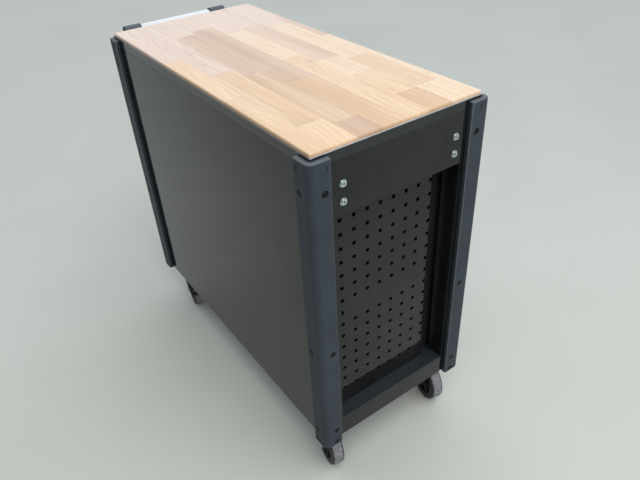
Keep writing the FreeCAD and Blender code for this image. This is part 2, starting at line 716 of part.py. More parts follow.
def make_drawer_wall(label, side):
    """Folded wall that carries the runners, stepped round the drawer fronts, with outward flanges."""
    body = new_body(label)
    flange_end = "-(wall_outside + wall_flange)"
    rebate = "-(front_half + front_side_gap)"
    outer = "rear_face"
    inner = "(rear_face - casing_sheet)"
    step = "(tray_front + rebate_gap)"
    corners = [
        (flange_end, f"-{outer}"),
        (rebate, f"-{outer}"),
        (rebate, step),
        ("-wall_inside", step),
        ("-wall_inside", outer),
        (flange_end, outer),
        (flange_end, inner),
        ("-wall_outside", inner),
        ("-wall_outside", f"{step} + casing_sheet"),
        (f"{rebate} - casing_sheet", f"{step} + casing_sheet"),
        (f"{rebate} - casing_sheet", f"-{inner}"),
        (flange_end, f"-{inner}"),
    ]
    if side == "right":
        corners = [(f"-({u})", v) for u, v in corners]
    pad(body, "XY", "base_top", "body_top - casing_sheet", (polygon, corners))


def make_back_panel():
    """One flat sheet between the corner posts, with guides for the locking bar on its inside."""
    body = new_body("back_panel")
    edge = "(strip_end - seam)"
    pad(body, "XZ", "rear_face", "half_depth", (rectangle, f"-{edge}", "base_bottom", edge, "body_top - seam"))
    low, high = "(lock_x - guide_width / 2)", "(lock_x + guide_width / 2)"
    front = "(bar_front - bar_play)"
    for number in (2, 4, 6):
        centre = f"({tray_top(number)} - guide_drop)"
        pad(body, "XY", f"{centre} - guide_height / 2", f"{centre} + guide_height / 2",
            (polygon, [
                (low, "rear_face"),
                (low, f"{front} - guide_sheet"),
                (high, f"{front} - guide_sheet"),
                (high, "rear_face"),
                (f"{high} - guide_sheet", "rear_face"),
                (f"{high} - guide_sheet", front),
                (f"{low} + guide_sheet", front),
                (f"{low} + guide_sheet", "rear_face"),
            ]))


# Corner posts and casing screws


def make_corner_post(name, turn, sides):
    """Moulded cover: rounded L outside, hollow inside with ribs and screw bosses."""
    body = new_body("corner_post_" + name)
    far = "(post_leg - post_proud)"
    proud = "post_proud"
    pad(body, "XY", "post_bottom", "post_top",
        (polygon, [
            (f"-{proud}", proud),
            (f"-{proud}", f"-{far}"),
            ("0", f"-{far}"),
            ("0", "0"),
            (far, "0"),
            (far, proud),
        ]))
    fillet(body, "post_corner", edges_along("Z", [(f"-{proud}", proud)]))
    fillet(body, "post_edge", edges_along("Z", [(f"-{proud}", f"-{far}"), (far, proud)]))
    DOC.recompute()

    def outer_top(edge):
        inside = edges_along("Y", [("0", "post_top")])(edge) or edges_along("X", [("0", "post_top")])(edge)
        return edges_level("post_top")(edge) and not inside

    fillet(body, "post_cap_round", outer_top)
    skin = "(post_proud - post_wall)"
    leg = "(post_leg - post_proud - post_wall)"
    slope = "(post_corner - post_wall) * (2 - sqrt(2))"
    hollow = [
        (f"-{skin}", f"{skin} - {slope}"),
        (f"-{skin}", f"-{leg}"),
        ("0", f"-{leg}"),
        ("0", "0"),
        (leg, "0"),
        (leg, skin),
        (f"-{skin} + {slope}", skin),
    ]
    pocket(body, "XY", "post_bottom", "post_top - post_wall", (polygon, hollow))
    embed = "post_wall / 2"
    heights = [f"post_screw_{n}" for n in range(1, 5)]
    inset = "post_screw_inset"
    boss = "counterbore + post_wall"
    pad(body, "XZ", "0", f"{skin} + {embed}", *[(circle, inset, height, boss) for height in heights])
    pad(body, "YZ", f"-({skin} + {embed})", "0", *[(circle, f"-{inset}", height, boss) for height in heights])
    rib_outline = [
        (f"-{skin} - {embed}", "0"),
        (f"-{skin} - {embed}", f"-{leg} - {embed}"),
        ("0", f"-{leg} - {embed}"),
        ("0", "0"),
        (f"{leg} + {embed}", "0"),
        (f"{leg} + {embed}", f"{skin} + {embed}"),
        ("0", f"{skin} + {embed}"),
    ]
    rib = pad(body, "XY", "first_rib", "first_rib + post_rib", (polygon, rib_outline))
    repeat(body, rib, "Z", "post_rib_pitch", "post_ribs")
    sink = "(post_proud - counterbore_depth)"
    cuts = (("counterbore", sink, proud), ("screw_hole", "0", sink))
    for width, low, high in cuts:
        pocket(body, "XZ", low, high, *[(circle, inset, height, width) for height in heights])
        pocket(body, "YZ", f"-{high}", f"-{low}", *[(circle, f"-{inset}", height, width) for height in heights])
    disc = ("post_mark_height", "post_mark_width")
    pocket(body, "XZ", f"{proud} - post_mark_depth", proud, (circle, inset, *disc))
    pocket(body, "YZ", f"-{proud}", f"-{proud} + post_mark_depth", (circle, f"-{inset}", *disc))
    x_side, y_side = ("" if side > 0 else "-" for side in sides)
    move_to(body, f"{x_side}half_length", f"{y_side}half_depth", turn=turn)


def make_post_screws():
    """Socket screws of the corner posts, eight to a post."""
    body = new_body("post_screws")
    heights = [f"post_screw_{n}" for n in range(1, 5)]
    seat = "(post_proud - counterbore_depth)"
    top = f"({seat} + socket_head_height)"
    along = "(half_length - post_screw_inset)"
    across = "(half_depth - post_screw_inset)"
    places = {"XZ": (along, "half_depth"), "YZ": (across, "half_length")}
    for plane, (offset, face) in places.items():
        spots = [(f"{i}{offset}", height) for i in ("-", "") for height in heights]
        pad(body, plane, f"{face} + {seat}", f"{face} + {top}",
            *[(circle, u, v, "socket_head") for u, v in spots])
        pad(body, plane, f"{face} - casing_sheet", f"{face} + {seat}",
            *[(circle, u, v, "shank") for u, v in spots])
        pocket(body, plane, f"{face} + {top} - socket_depth", f"{face} + {top}",
               *[(hexagon, u, v, "socket_hex") for u, v in spots])
    mirror(body, "XZ")
    mirror(body, "YZ")


def make_band_screws():
    """Flanged button screws in the bands: free on the left, through the handle's feet on the right."""
    body = new_body("band_screws")
    heights = ("band_screw_high", "band_screw_low")
    spots = [(f"{j}band_screw_y", height) for j in ("-", "") for height in heights]
    seats = (("-", "half_length"), ("", "(half_length + bracket_foot)"))
    for side, seat in seats:
        levels = [
            ("button_flange", seat, f"{seat} + button_flange_height"),
            ("button_head", seat, f"{seat} + button_height"),
            ("shank", "half_length - button_shank", seat),
        ]
        for width, low, high in levels:
            start, end = (low, high) if side == "" else (f"-({high})", f"-({low})")
            pad(body, "YZ", start, end, *[(circle, u, v, width) for u, v in spots])
        low, high = f"{seat} + button_height - socket_depth", f"{seat} + button_height"
        start, end = (low, high) if side == "" else (f"-({high})", f"-({low})")
        pocket(body, "YZ", start, end, *[(hexagon, u, v, "socket_hex") for u, v in spots])


# Drawers and runners


def make_cabinet_runners():
    """Outer members of the telescopic runners, on the drawer walls."""
    body = new_body("cabinet_runners")
    back = "-wall_inside"
    outlines = [channel_outline(back, "runner_height / 2", runner_middle(n)) for n in range(1, PITCHES + 1)]
    pad(body, "XZ", "runner_front", "runner_front + runner_length", *outlines)
    mirror(body, "YZ")


def channel_outline(back, half_height, centre, turned=False):
    """Section of one runner member: a web at x = back and two legs."""
    web = f"({back} - runner_sheet)" if turned else f"({back} + runner_sheet)"
    reach = f"({back} - runner_leg + runner_sheet)" if turned else f"({back} + runner_leg)"
    inner = f"({half_height} - runner_sheet)"
    return (polygon, [
        (back, f"{centre} - {half_height}"),
        (reach, f"{centre} - {half_height}"),
        (reach, f"{centre} - {inner}"),
        (web, f"{centre} - {inner}"),
        (web, f"{centre} + {inner}"),
        (reach, f"{centre} + {inner}"),
        (reach, f"{centre} + {half_height}"),
        (back, f"{centre} + {half_height}"),
    ])


def make_middle_runners(number):
    """Middle members of one drawer's runners, which travel half as far as the drawer."""
    body = new_body(f"middle_runners_{number}")
    back = "(runner_sheet + runner_play - wall_inside)"
    half = "(runner_height / 2 - runner_sheet - runner_play)"
    pad(body, "XZ", "runner_front", "runner_front + runner_length",
        channel_outline(back, half, runner_middle(number)))
    mirror(body, "YZ")


def make_drawer_runners(number):
    """Inner members of one drawer's runners, on the sides of its tray."""
    body = new_body(f"drawer_runners_{number}")
    half = "(runner_height / 2 - 2 * runner_sheet - 2 * runner_play)"
    pad(body, "XZ", "tray_front", "runner_front + runner_length - runner_setback",
        channel_outline("-tray_half", half, runner_middle(number), turned=True))
    mirror(body, "YZ")


def make_drawer(number):
    """Sheet tray with a folded front, stepped back behind the grip, and a tongue for the lock."""
    body = new_body(f"drawer_{number}")
    face = "-half_depth"
    low, high = front_bottom(number), front_top(number)
    step = f"({high} - grip_height)"
    sheet = "casing_sheet"
    pad(body, "YZ", "-front_half", "front_half",
        (polygon, [
            (face, low),
            ("tray_front", low),
            ("tray_front", high),
            (f"{face} + front_step", high),
            (f"{face} + front_step", step),
            (face, step),
        ]))
    fillet(body, sheet, edges_along("X", [(face, low), (face, step)]))
    edge = f"(front_half - {sheet})"
    back = f"(tray_front - {sheet})"
    pocket(body, "XZ", f"{face} + {sheet}", back,
           (rectangle, f"-{edge}", f"{low} + {sheet}", edge, f"{step} - {sheet}"))
    pocket(body, "XZ", f"{face} + front_step + {sheet}", back,
           (rectangle, f"-{edge}", f"{step} - 2 * {sheet}", edge, f"{high} - {sheet}"))
    window = "(front_half - front_return)"
    pocket(body, "XZ", back, "tray_front",
           (rectangle, f"-{window}", f"{low} + front_return", window, f"{high} - front_return"))
    floor = f"({low} + tray_raise)"
    rim = tray_top(number)
    pad(body, "XY", floor, rim, (rectangle, "-tray_half", "tray_front", "tray_half", "tray_rear"))
    pocket(body, "XY", f"{floor} + {sheet}", rim,
           (rectangle, f"-tray_half + {sheet}", f"tray_front + {sheet}", f"tray_half - {sheet}",
            f"tray_rear - {sheet}"))
    left, right = "(lock_x - tongue_width / 2)", "(lock_x + tongue_width / 2)"
    pad(body, "XY", f"{rim} - {sheet}", rim,
        (rectangle, left, f"tray_rear - {sheet}", right, "tongue_end"))
    reach = "(hook_width / 2 + hook_room)"
    pocket(body, "XY", f"{rim} - {sheet}", rim,
           (rectangle, f"lock_x - {reach}", "hook_front - hook_room",
            f"lock_x + {reach}", "hook_back + hook_room"))


def make_drawer_grip(number):
    """Full-width profile: a back leg, a top web and a lip that turns down over the fingers."""
    body = new_body(f"drawer_grip_{number}")
    seat = "(front_step - half_depth)"
    nose = f"({seat} - grip_reach)"
    top = front_top(number)
    wall = "grip_wall"
    end = f"(front_half - {wall})"
    pad(body, "YZ", f"-{end}", end,
        (polygon, [
            (seat, f"{top} - grip_height + {wall}"),
            (seat, top),
            (nose, top),
            (nose, f"{top} - grip_lip"),
            (f"{nose} + {wall}", f"{top} - grip_lip"),
            (f"{nose} + {wall}", f"{top} - {wall}"),
            (f"{seat} - {wall}", f"{top} - {wall}"),
            (f"{seat} - {wall}", f"{top} - grip_height + {wall}"),
        ]))
    fillet(body, "grip_nose", edges_along("X", [(nose, top)]))
    fillet(body, "grip_nose - grip_wall",
           edges_along("X", [(f"{nose} + {wall}", f"{top} - {wall}"), (f"{seat} - {wall}", f"{top} - {wall}")]))


# Central lock


def make_lock_cylinder():
    """Lock barrel with its rod and crank; a quarter turn lowers the locking bar."""
    body = new_body("lock_cylinder")
    face = "-half_depth"
    crank_back = "(bar_front - bar_play)"
    crank_front = f"({crank_back} - crank_sheet)"
    centre = ("lock_x", "lock_z")
    pin_x = "lock_x + crank_radius"
    pad(body, "XZ", f"{face} - lock_face_height", face, (circle, *centre, "lock_face"))
    pad(body, "XZ", face, f"{face} + lock_barrel_length", (circle, *centre, "lock_barrel"))
    pad(body, "XZ", f"{face} + lock_barrel_length", crank_back, (circle, *centre, "lock_rod"))
    reach = "(crank_radius + crank_pin / 2 + crank_edge)"
    pad(body, "XZ", crank_front, crank_back,
        (rectangle, "lock_x - lock_rod / 2", "lock_z - lock_rod / 2",
         f"lock_x + {reach}", "lock_z + lock_rod / 2"))
    pad(body, "XZ", crank_front, "bar_back + crank_pin_end", (circle, pin_x, "lock_z", "crank_pin"))
    pocket(body, "XZ", f"{face} - lock_face_height", f"{face} + lock_face_height",
           (rectangle, "lock_x - key_slot_width / 2", "lock_z - key_slot_length / 2",
            "lock_x + key_slot_width / 2", "lock_z + key_slot_length / 2"))


def make_lock_bar():
    """Upright bar behind the drawers, with a slotted head for the crank pin and one hook a drawer."""
    body = new_body("lock_bar")
    head_low = "(lock_z - bar_head_half)"
    head_high = "(lock_z + bar_head_half)"
    foot = f"({tray_top(PITCHES)} - bar_tail)"
    pad(body, "XZ", "bar_front", "bar_back",
        (polygon, [
            ("lock_x - bar_width / 2", foot),
            ("lock_x + bar_width / 2", foot),
            ("lock_x + bar_width / 2", head_low),
            ("lock_x + bar_head_reach", head_low),
            ("lock_x + bar_head_reach", head_high),
            ("lock_x - bar_width / 2", head_high),
        ]))
    slot_half = "(crank_pin / 2 + bar_slot_play)"
    slot_end = "(crank_pin / 2 + bar_slot_end)"
    pocket(body, "XZ", "bar_front", "bar_back",
           (rectangle, f"lock_x - {slot_end}", f"lock_z - {slot_half}",
            f"lock_x + crank_radius + {slot_end}", f"lock_z + {slot_half}"))
    for number in range(1, PITCHES + 1):
        tip = f"({tray_top(number)} + hook_gap)"
        arm = f"({tip} + hook_tip)"
        pad(body, "YZ", "lock_x - hook_width / 2", "lock_x + hook_width / 2",
            (polygon, [
                ("bar_front + bar_sheet / 2", f"{arm} + hook_sheet"),
                ("hook_front", f"{arm} + hook_sheet"),
                ("hook_front", tip),
                ("hook_back", tip),
                ("hook_back", arm),
                ("bar_front + bar_sheet / 2", arm),
            ]))


# Push handle


def make_handle_brackets():
    """Moulded arms from the right end's band up to a sleeve round the tube."""
    body = new_body("handle_brackets")
    face = "half_length"
    aside = "bracket_ring / 2 * cos(bracket_slope * 1 deg)"
    above = "bracket_ring / 2 * sin(bracket_slope * 1 deg)"
    pad(body, "XZ", "bracket_cheek", "bracket_outer",
        (polygon, [
            (face, "bracket_low"),
            (f"{face} + bracket_toe", "bracket_low"),
            (f"{face} + bracket_knee", "bracket_low + bracket_knee_rise"),
            (f"tube_x + {aside}", f"tube_height - {above}"),
            (f"tube_x - {aside}", f"tube_height + {above}"),
            (f"{face} + bracket_heel", "bracket_high + bracket_heel_rise"),
            (face, "bracket_high"),
        ]))
    pocket(body, "XZ", "bracket_cheek + bracket_wall", "bracket_outer - bracket_wall",
           (polygon, [
               (f"{face} + bracket_foot", "bracket_low - bracket_wall"),
               ("tube_x + bracket_ring", "bracket_low - bracket_wall"),
               ("tube_x + bracket_ring", "tube_height"),
               ("tube_x - bracket_hollow_end", "tube_height"),
               (f"{face} + bracket_hollow_bend", "bracket_high + bracket_hollow_rise"),
               (f"{face} + bracket_foot", "bracket_high - bracket_wall"),
           ]))
    pad(body, "XZ", "bracket_inner", "bracket_outer", (circle, "tube_x", "tube_height", "bracket_ring"))
    pocket(body, "XZ", "bracket_inner", "bracket_outer - bracket_wall",
           (circle, "tube_x", "tube_height", "tube_diameter + 2 * tube_play"))
    holes = [(circle, "band_screw_y", height, "screw_hole") for height in ("band_screw_high", "band_screw_low")]
    pocket(body, "YZ", face, f"{face} + bracket_foot", *holes)
    mirror(body, "XZ")


def make_handle_tube():
    """Round tube between the two sleeves."""
    body = new_body("handle_tube")
    end = "(bracket_outer - bracket_wall - tube_play)"
    centre = ("tube_x", "tube_height")
    pad(body, "XZ", f"-{end}", end,
        (circle, *centre, "tube_diameter"), (circle, *centre, "tube_diameter - 2 * tube_wall"))


# Casters


def make_caster_plates():
    """Bolted plates with the upper ball race and the pin that holds the fork, one to a caster."""
    body = new_body("caster_plates")
    low_x, high_x = "(caster_x - plate_length / 2)", "(caster_x + plate_length / 2)"
    low_y, high_y = "(caster_y - plate_width / 2)", "(caster_y + plate_width / 2)"
    pad(body, "XY", "plate_underside", "caster_height", (rectangle, low_x, low_y, high_x, high_y))
    fillet(body, "plate_corner", edges_along("Z", [(x, y) for x in (low_x, high_x) for y in (low_y, high_y)]))
    holes = [
        (circle, f"caster_x + {k}plate_hole_x / 2", f"caster_y + {m}plate_hole_y / 2", "plate_hole")
        for k in ("-", "") for m in ("-", "")
    ]
    pocket(body, "XY", "plate_underside", "caster_height", *holes)
    axis = ("caster_x", "caster_y")
    pad(body, "XY", "plate_underside - race_height", "plate_underside", (circle, *axis, "race_diameter"))
    head_top = "(plate_underside - bore_play)"
    nut_low = "(caster_height + channel_wall + bore_play)"
    spots = [hole[1:3] for hole in holes]
    pad(body, "XY", head_top, nut_low, *[(circle, u, v, "bolt") for u, v in spots])
    heads = [(hexagon, u, v, "bolt_head") for u, v in spots]
    pad(body, "XY", f"{head_top} - bolt_head_height", head_top, *heads)
    pad(body, "XY", nut_low, f"{nut_low} + bolt_head_height", *heads)
    pin_end = "(crown_top - race_gap - king_head_height)"
    pad(body, "XY", pin_end, "plate_underside", (circle, *axis, "king_pin"))
    pad(body, "XY", pin_end, f"{pin_end} + king_head_height", (circle, *axis, "king_head"))
    mirror(body, "XZ")
    mirror(body, "YZ")


def make_caster_fork(name, sides, braked):
    """Pressed fork with its lower race, and the axle bolt through both legs as a solid of its own."""
    body = new_body("caster_fork_" + name)
    crown_low = "crown_top"
    crown_high = "(crown_top + fork_sheet)"
    pad(body, "XY", crown_low, crown_high,
        (rectangle, "-fork_back", "-leg_outside", "fork_front", "leg_outside"))
    pad(body, "XY", crown_low, crown_high, (circle, "0", "0", "race_diameter"))
    pocket(body, "XY", crown_low, crown_high, (circle, "0", "0", "king_pin + 2 * bore_play"))
    rear = ("fork_eye * cos(fork_rear_slope * 1 deg)", "fork_eye * sin(fork_rear_slope * 1 deg)")
    front = ("fork_eye * cos(fork_front_slope * 1 deg)", "fork_eye * sin(fork_front_slope * 1 deg)")
    leg = [
        ("-fork_back", crown_high),
        (f"-trail - {rear[0]}", f"axle_height + {rear[1]}"),
        (f"-trail - {rear[1]}", f"axle_height - {rear[0]}"),
        (f"-trail + {front[0]}", f"axle_height - {front[1]}"),
        ("fork_front", f"{crown_high} - fork_brow"),
        ("fork_front", crown_high),
    ]
    for low, high in (("leg_inside", "leg_outside"), ("-leg_outside", "-leg_inside")):
        pad(body, "XZ", low, high, (polygon, leg))
        pad(body, "XZ", low, high, (circle, "-trail", "axle_height", "2 * fork_eye"))
        pocket(body, "XZ", low, high, (circle, "-trail", "axle_height", "axle + 2 * bore_play"))
    if braked:
        pin = (circle, "-brake_pivot_x", "brake_pivot_z", "brake_pin")
        reach = "(leg_outside + brake_play + brake_sheet)"
        pad(body, "XZ", "leg_outside", reach, pin)
        pad(body, "XZ", f"-{reach}", "-leg_outside", pin)
    seat = "(leg_outside + bore_play)"
    pad(body, "XZ", f"-{seat}", seat, (circle, "-trail", "axle_height", "axle"))
    nut = (hexagon, "-trail", "axle_height", "axle_head")
    pad(body, "XZ", seat, f"{seat} + axle_head_height", nut)
    pad(body, "XZ", f"-({seat} + axle_head_height)", f"-{seat}", nut)
    place_caster(body, sides)


def place_caster(body, sides):
    """Puts a piece that swivels on its axis, turned as the cabinet stands."""
    x_side, y_side = ("" if side > 0 else "-" for side in sides)
    move_to(body, f"{x_side}caster_x", f"{y_side}caster_y", turn=-value("caster_turn"))


def make_caster_hub(name, sides):
    """Moulded wheel centre: boss, web, rim and radial ribs."""
    body = new_body("caster_hub_" + name)
    boss = "(leg_inside - hub_end_play)"
    rim_in = "(rim_radius - rim_wall)"
    half = "(wheel_width / 2 - hub_setback)"
    rib_half = "(wheel_width / 2 - hub_rib_setback)"
    web = "(hub_web / 2)"
    revolve(body, "XY", "V_Axis", "0", [
        ("axle / 2 + bore_play", f"-{boss}"),
        ("hub_diameter / 2", f"-{boss}"),
        ("hub_diameter / 2", f"-{web}"),
        (rim_in, f"-{web}"),
        (rim_in, f"-{half}"),
        ("rim_radius", f"-{half}"),
        ("rim_radius", half),
        (rim_in, half),
        (rim_in, web),
        ("hub_diameter / 2", web),
        ("hub_diameter / 2", boss),
        ("axle / 2 + bore_play", boss),
    ])
    rib = pad(body, "XZ", f"-{rib_half}", rib_half,
              (rectangle, "hub_diameter / 2 - hub_rib_root", "-hub_rib / 2",
               f"{rim_in} + hub_rib_root", "hub_rib / 2"))
    pattern = body.newObject("PartDesign::PolarPattern", "PolarPattern")
    pattern.Originals = [rib]
    pattern.Axis = (origin(body, "Y_Axis"), [""])
    pattern.Angle = 360
    pattern.setExpression("Occurrences", bind("hub_ribs"))
    body.Tip = pattern
    place_wheel(body, sides)


def place_wheel(body, sides):
    """Puts a wheel's piece on its axle, turned as its fork is."""
    x_side, y_side = ("" if side > 0 else "-" for side in sides)
    back = "trail * cos(caster_turn * 1 deg)"
    aside = "trail * sin(caster_turn * 1 deg)"
    move_to(body, f"{x_side}caster_x - {back}", f"{y_side}caster_y + {aside}", "axle_height",
            turn=-value("caster_turn"))


def make_caster_tyre(name, sides):
    """Rubber tyre with rounded shoulders."""
    body = new_body("caster_tyre_" + name)
    outer = "axle_height"
    half = "(wheel_width / 2)"
    inner = "(rim_radius + bore_play)"
    revolve(body, "XY", "V_Axis", "0", [(inner, f"-{half}"), (outer, f"-{half}"), (outer, half), (inner, half)])
    DOC.recompute()
    radius = value(outer)

    def shoulder(edge):
        return isinstance(edge.Curve, Part.Circle) and abs(edge.Curve.Radius - radius) < 0.01

    fillet(body, "tyre_shoulder", shoulder)
    place_wheel(body, sides)


def make_caster_brake(name, sides):
    """Brake stirrup: two arms on the fork's pins and a pedal behind the tyre."""
    body = new_body("caster_brake_" + name)
    inner = "(leg_outside + brake_play)"
    outer = f"({inner} + brake_sheet)"
    pivot = ("-brake_pivot_x", "brake_pivot_z")
    pedal_top = "(brake_pedal_z + brake_sheet)"
    arm = [
        ("-brake_pivot_x + brake_arm", "brake_pivot_z + brake_arm"),
        ("-brake_pivot_x - brake_arm", "brake_pivot_z + brake_arm"),
        ("-brake_reach", f"{pedal_top} + brake_sheet"),
        ("-brake_reach", "brake_pedal_z"),
        ("-brake_shoe + brake_arm", "brake_pedal_z"),
        ("-brake_pivot_x", "brake_pivot_z - brake_arm"),
        ("-brake_pivot_x + brake_arm", "brake_pivot_z - brake_arm"),
    ]
    for low, high in ((inner, outer), (f"-{outer}", f"-{inner}")):
        pad(body, "XZ", low, high, (polygon, arm))
    pad(body, "XZ", f"-{outer}", outer,
        (polygon, [
            ("-brake_shoe", "brake_pedal_z"),
            ("-brake_shoe", pedal_top),
            ("-brake_reach + brake_sheet", f"{pedal_top} + brake_sheet"),
            ("-brake_reach", f"{pedal_top} + brake_sheet"),
            ("-brake_reach", "brake_pedal_z"),
        ]))
    for low, high in ((inner, outer), (f"-{outer}", f"-{inner}")):
        pocket(body, "XZ", low, high, (circle, *pivot, "brake_pin + 2 * bore_play"))
    place_caster(body, sides)


def build_all():
    """Builds every sub-part of the cabinet."""
    make_worktop()
    make_top_tray()
    make_base_frame()
    for side, turn in (("left", 0), ("right", 180)):
        make_end_frame("end_frame_" + side, turn)
        make_perforated_panel("perforated_panel_" + side, turn)
        make_drawer_wall("drawer_wall_" + side, side)
    make_back_panel()
    for index, (name, sides) in enumerate(CORNERS.items()):
        make_corner_post(name, -90 * index, sides)
    make_post_screws()
    make_band_screws()
    make_cabinet_runners()
    for number in range(1, PITCHES + 1):
        make_drawer(number)
        make_drawer_grip(number)
        make_drawer_runners(number)
        make_middle_runners(number)
    make_lock_cylinder()
    make_lock_bar()
    make_handle_brackets()
    make_handle_tube()
    make_caster_plates()
    for name, sides in CORNERS.items():
        make_caster_fork(name, sides, name in BRAKED)
        make_caster_hub(name, sides)
        make_caster_tyre(name, sides)
    for name in BRAKED:
        make_caster_brake(name, CORNERS[name])
    DOC.recompute()


def check_all(bodies):
    """Stops on a failed feature, a cut that removes nothing, or a shape that isn't valid."""
    for feature in DOC.Objects:
        if {"Invalid", "Error"} & set(feature.State):
            raise ValueError(f"{feature.Name} of {feature.Label} failed: {feature.State}")
        if feature.TypeId == "PartDesign::Pocket":
            before, after = feature.BaseFeature.Shape.Volume, feature.Shape.Volume
            if after > before - 0.01:
                raise ValueError(f"{feature.Name} in {feature.getParent().Label} cuts nothing")
    for body in bodies:
        if body.Shape.isNull() or not body.Shape.isValid():
            raise ValueError(f"{body.Label} has no valid shape")


def write_all(bodies):
    """Writes each sub-part to a file of its own."""
    os.makedirs("parts", exist_ok=True)
    for body in bodies:
        body.Shape.exportStep(f"parts/{body.Label}.step")
    print(len(bodies), "sub-parts,", sum(len(body.Shape.Solids) for body in bodies), "solids")


build_all()
BODIES = [item for item in DOC.Objects if item.TypeId == "PartDesign::Body"]
check_all(BODIES)
write_all(BODIES)
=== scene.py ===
import json
import math

import bpy
from mathutils import Matrix, Vector

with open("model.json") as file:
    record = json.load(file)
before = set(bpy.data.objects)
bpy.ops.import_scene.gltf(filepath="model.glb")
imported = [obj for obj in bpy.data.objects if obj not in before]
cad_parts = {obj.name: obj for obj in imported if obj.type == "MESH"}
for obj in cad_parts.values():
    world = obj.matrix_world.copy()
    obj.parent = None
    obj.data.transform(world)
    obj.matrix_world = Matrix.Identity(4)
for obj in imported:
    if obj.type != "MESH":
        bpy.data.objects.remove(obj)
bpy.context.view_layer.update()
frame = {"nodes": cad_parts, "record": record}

# Finishes, camera and light of a rolling tool cabinet with a wooden worktop.
# X runs along the length, -Y faces the drawers, Z is up. Everything is in metres.

NODES = frame["nodes"]
UP = (0.0, 0.0, 1.0)

# Worktop staves: the rows from the back edge forwards, each with its tones and butt joints along X;
# every row ends in a painted sheen at the far end
STAVE_WIDTH = 0.0635
STAVE_BACK_EDGE = 0.2425
BUTT_HALF_WIDTH = 0.0005
LOT_STEP = 0.37
TONES = {
    "pale": (0.83, 0.64, 0.43),
    "cream": (0.79, 0.56, 0.335),
    "honey": (0.71, 0.475, 0.265),
    "tan": (0.63, 0.40, 0.21),
    "brown": (0.55, 0.34, 0.185),
    "umber": (0.50, 0.31, 0.20),
    "rose": (0.54, 0.345, 0.235),
    "dusk": (0.63, 0.43, 0.32),
    # Painted sheen: the pale pink that the sky's reflection lays on the far end of the board
    "far_sheen": (0.72, 0.565, 0.485),
}
STAVES = (
    ("honey", -0.180, "cream", 0.145, "far_sheen"),
    ("cream", -0.395, "honey", -0.020, "far_sheen", 0.330, "far_sheen"),
    ("umber", -0.429, "brown", -0.077, "rose", 0.320, "far_sheen"),
    ("tan", -0.185, "umber", 0.345, "far_sheen"),
    ("cream", -0.267, "cream", -0.040, "pale", 0.258, "far_sheen"),
    ("tan", -0.400, "cream", -0.247, "pale", -0.112, "dusk", 0.268, "far_sheen"),
    ("pale", -0.395, "honey", -0.150, "pale", 0.220, "far_sheen"),
    ("pale", 0.050, "dusk", 0.300, "far_sheen"),
)
# Figure in the wood: stretch along X, Y and Z, detail, roughness and distortion of each noise
FIGURE = {
    "wander": ((2.2, 9.0, 9.0), 2.0, 0.5, 0.3),
    "ripple": ((9.0, 60.0, 60.0), 2.0, 0.5, 0.0),
    "fibre": ((14.0, 900.0, 900.0), 4.0, 0.65, 0.0),
    "streak": ((2.4, 120.0, 120.0), 3.0, 0.6, 0.0),
    "broad": ((1.6, 26.0, 26.0), 2.0, 0.5, 0.0),
    "pores": ((110.0, 1500.0, 1500.0), 1.0, 0.5, 0.0),
    "flecks": ((70.0, 330.0, 330.0), 2.0, 0.5, 0.0),
}
RINGS_PER_METRE = 62.0
RING_WANDER = 7.0
RING_RIPPLE = 0.5
FULL_TURN = 6.2832
# Knots: place, length, width, strength. The growth rings bend round the first two.
KNOTS = (
    (-0.098, -0.060, 0.022, 0.011, 0.60),
    (-0.056, -0.050, 0.016, 0.012, 0.30),
    (-0.322, -0.066, 0.006, 0.003, 0.55),
    (0.061, 0.151, 0.010, 0.006, 0.45),
    (0.163, 0.142, 0.013, 0.008, 0.40),
    (0.290, 0.016, 0.018, 0.004, 0.45),
    (0.398, 0.016, 0.010, 0.002, 0.60),
    (-0.243, -0.130, 0.005, 0.008, 0.50),
    (-0.385, -0.179, 0.014, 0.002, 0.45),
    (-0.150, -0.173, 0.007, 0.004, 0.35),
    (-0.358, -0.214, 0.011, 0.007, 0.35),
    (0.157, -0.066, 0.008, 0.004, 0.40),
    (0.438, 0.198, 0.012, 0.003, 0.35),
)
BENDING_KNOTS = KNOTS[:2]
KNOT_REACH = 1.6
KNOT_BEND = 4.0
# Flame: a brown wedge in the second row, from its wide root to its tip
FLAME_START, FLAME_TIP, FLAME_MIDDLE, FLAME_HALF = -0.395, -0.270, 0.157, 0.024
FLAME_TIP_HALF = 0.0005
FLAME_ROOT = 0.045

# Casters at rest: swivel axes, trail, turn of the forks, and where the axle bolts' heads are
CASTER_X, CASTER_Y = 0.424, 0.185
TRAIL = 0.042
TURN = math.radians(12.0)
AXLE_HEIGHT = 0.0625
AXLE_HEAD_RADIUS = 0.0078
LEG_OUTSIDE = 0.0246

# Sheared upper edge of the tray round the board, painted as a highlight, which painted shade dims on
# the back run
TRAY_RIM = 0.974
TRAY_LIP = 0.0022
TRAY_BLEND = 0.0003
TRAY_BACK = 0.2275
TRAY_BACK_BLEND = 0.001

# Corner posts: outer faces, and the free edges of their legs, where a painted highlight runs
POST_FACE_X, POST_FACE_Y = 0.5225, 0.2425
POST_EDGE_X, POST_EDGE_Y = 0.4685, 0.1885
EDGE_WIDTH = 0.0035
EDGE_SLACK = 0.001
FACE_SKIN = 0.0015

# Samples of the nodes that look round a point
AROUND_SAMPLES = 6

# Camera, solved from the edges of the photographed cabinet
CAMERA_PLACE = (-1.3215, 0.7573, 1.4868)
CAMERA_TURN = (1.0922, -2.1945, 1.0909)
CAMERA_REACH = 60.0
FOCAL_PIXELS = 597.6
IMAGE_WIDTH = 640
SENSOR_WIDTH = 36.0

# Ground
FLOOR_COLOUR = (0.565, 0.59, 0.545)
FLOOR_PATCHES = 0.96
FLOOR_RADIUS = 14.0
FLOOR_SIDES = 64

# Sky: its strength, and what the ends, the drawers' side and the height add
SKY = (0.93, 0.97, 1.02)
SKY_LEVEL = 0.56
SKY_ENDS = 0.50
SKY_BACK = -0.56
SKY_HEIGHT = 0.30
SKY_LEAST = 0.12

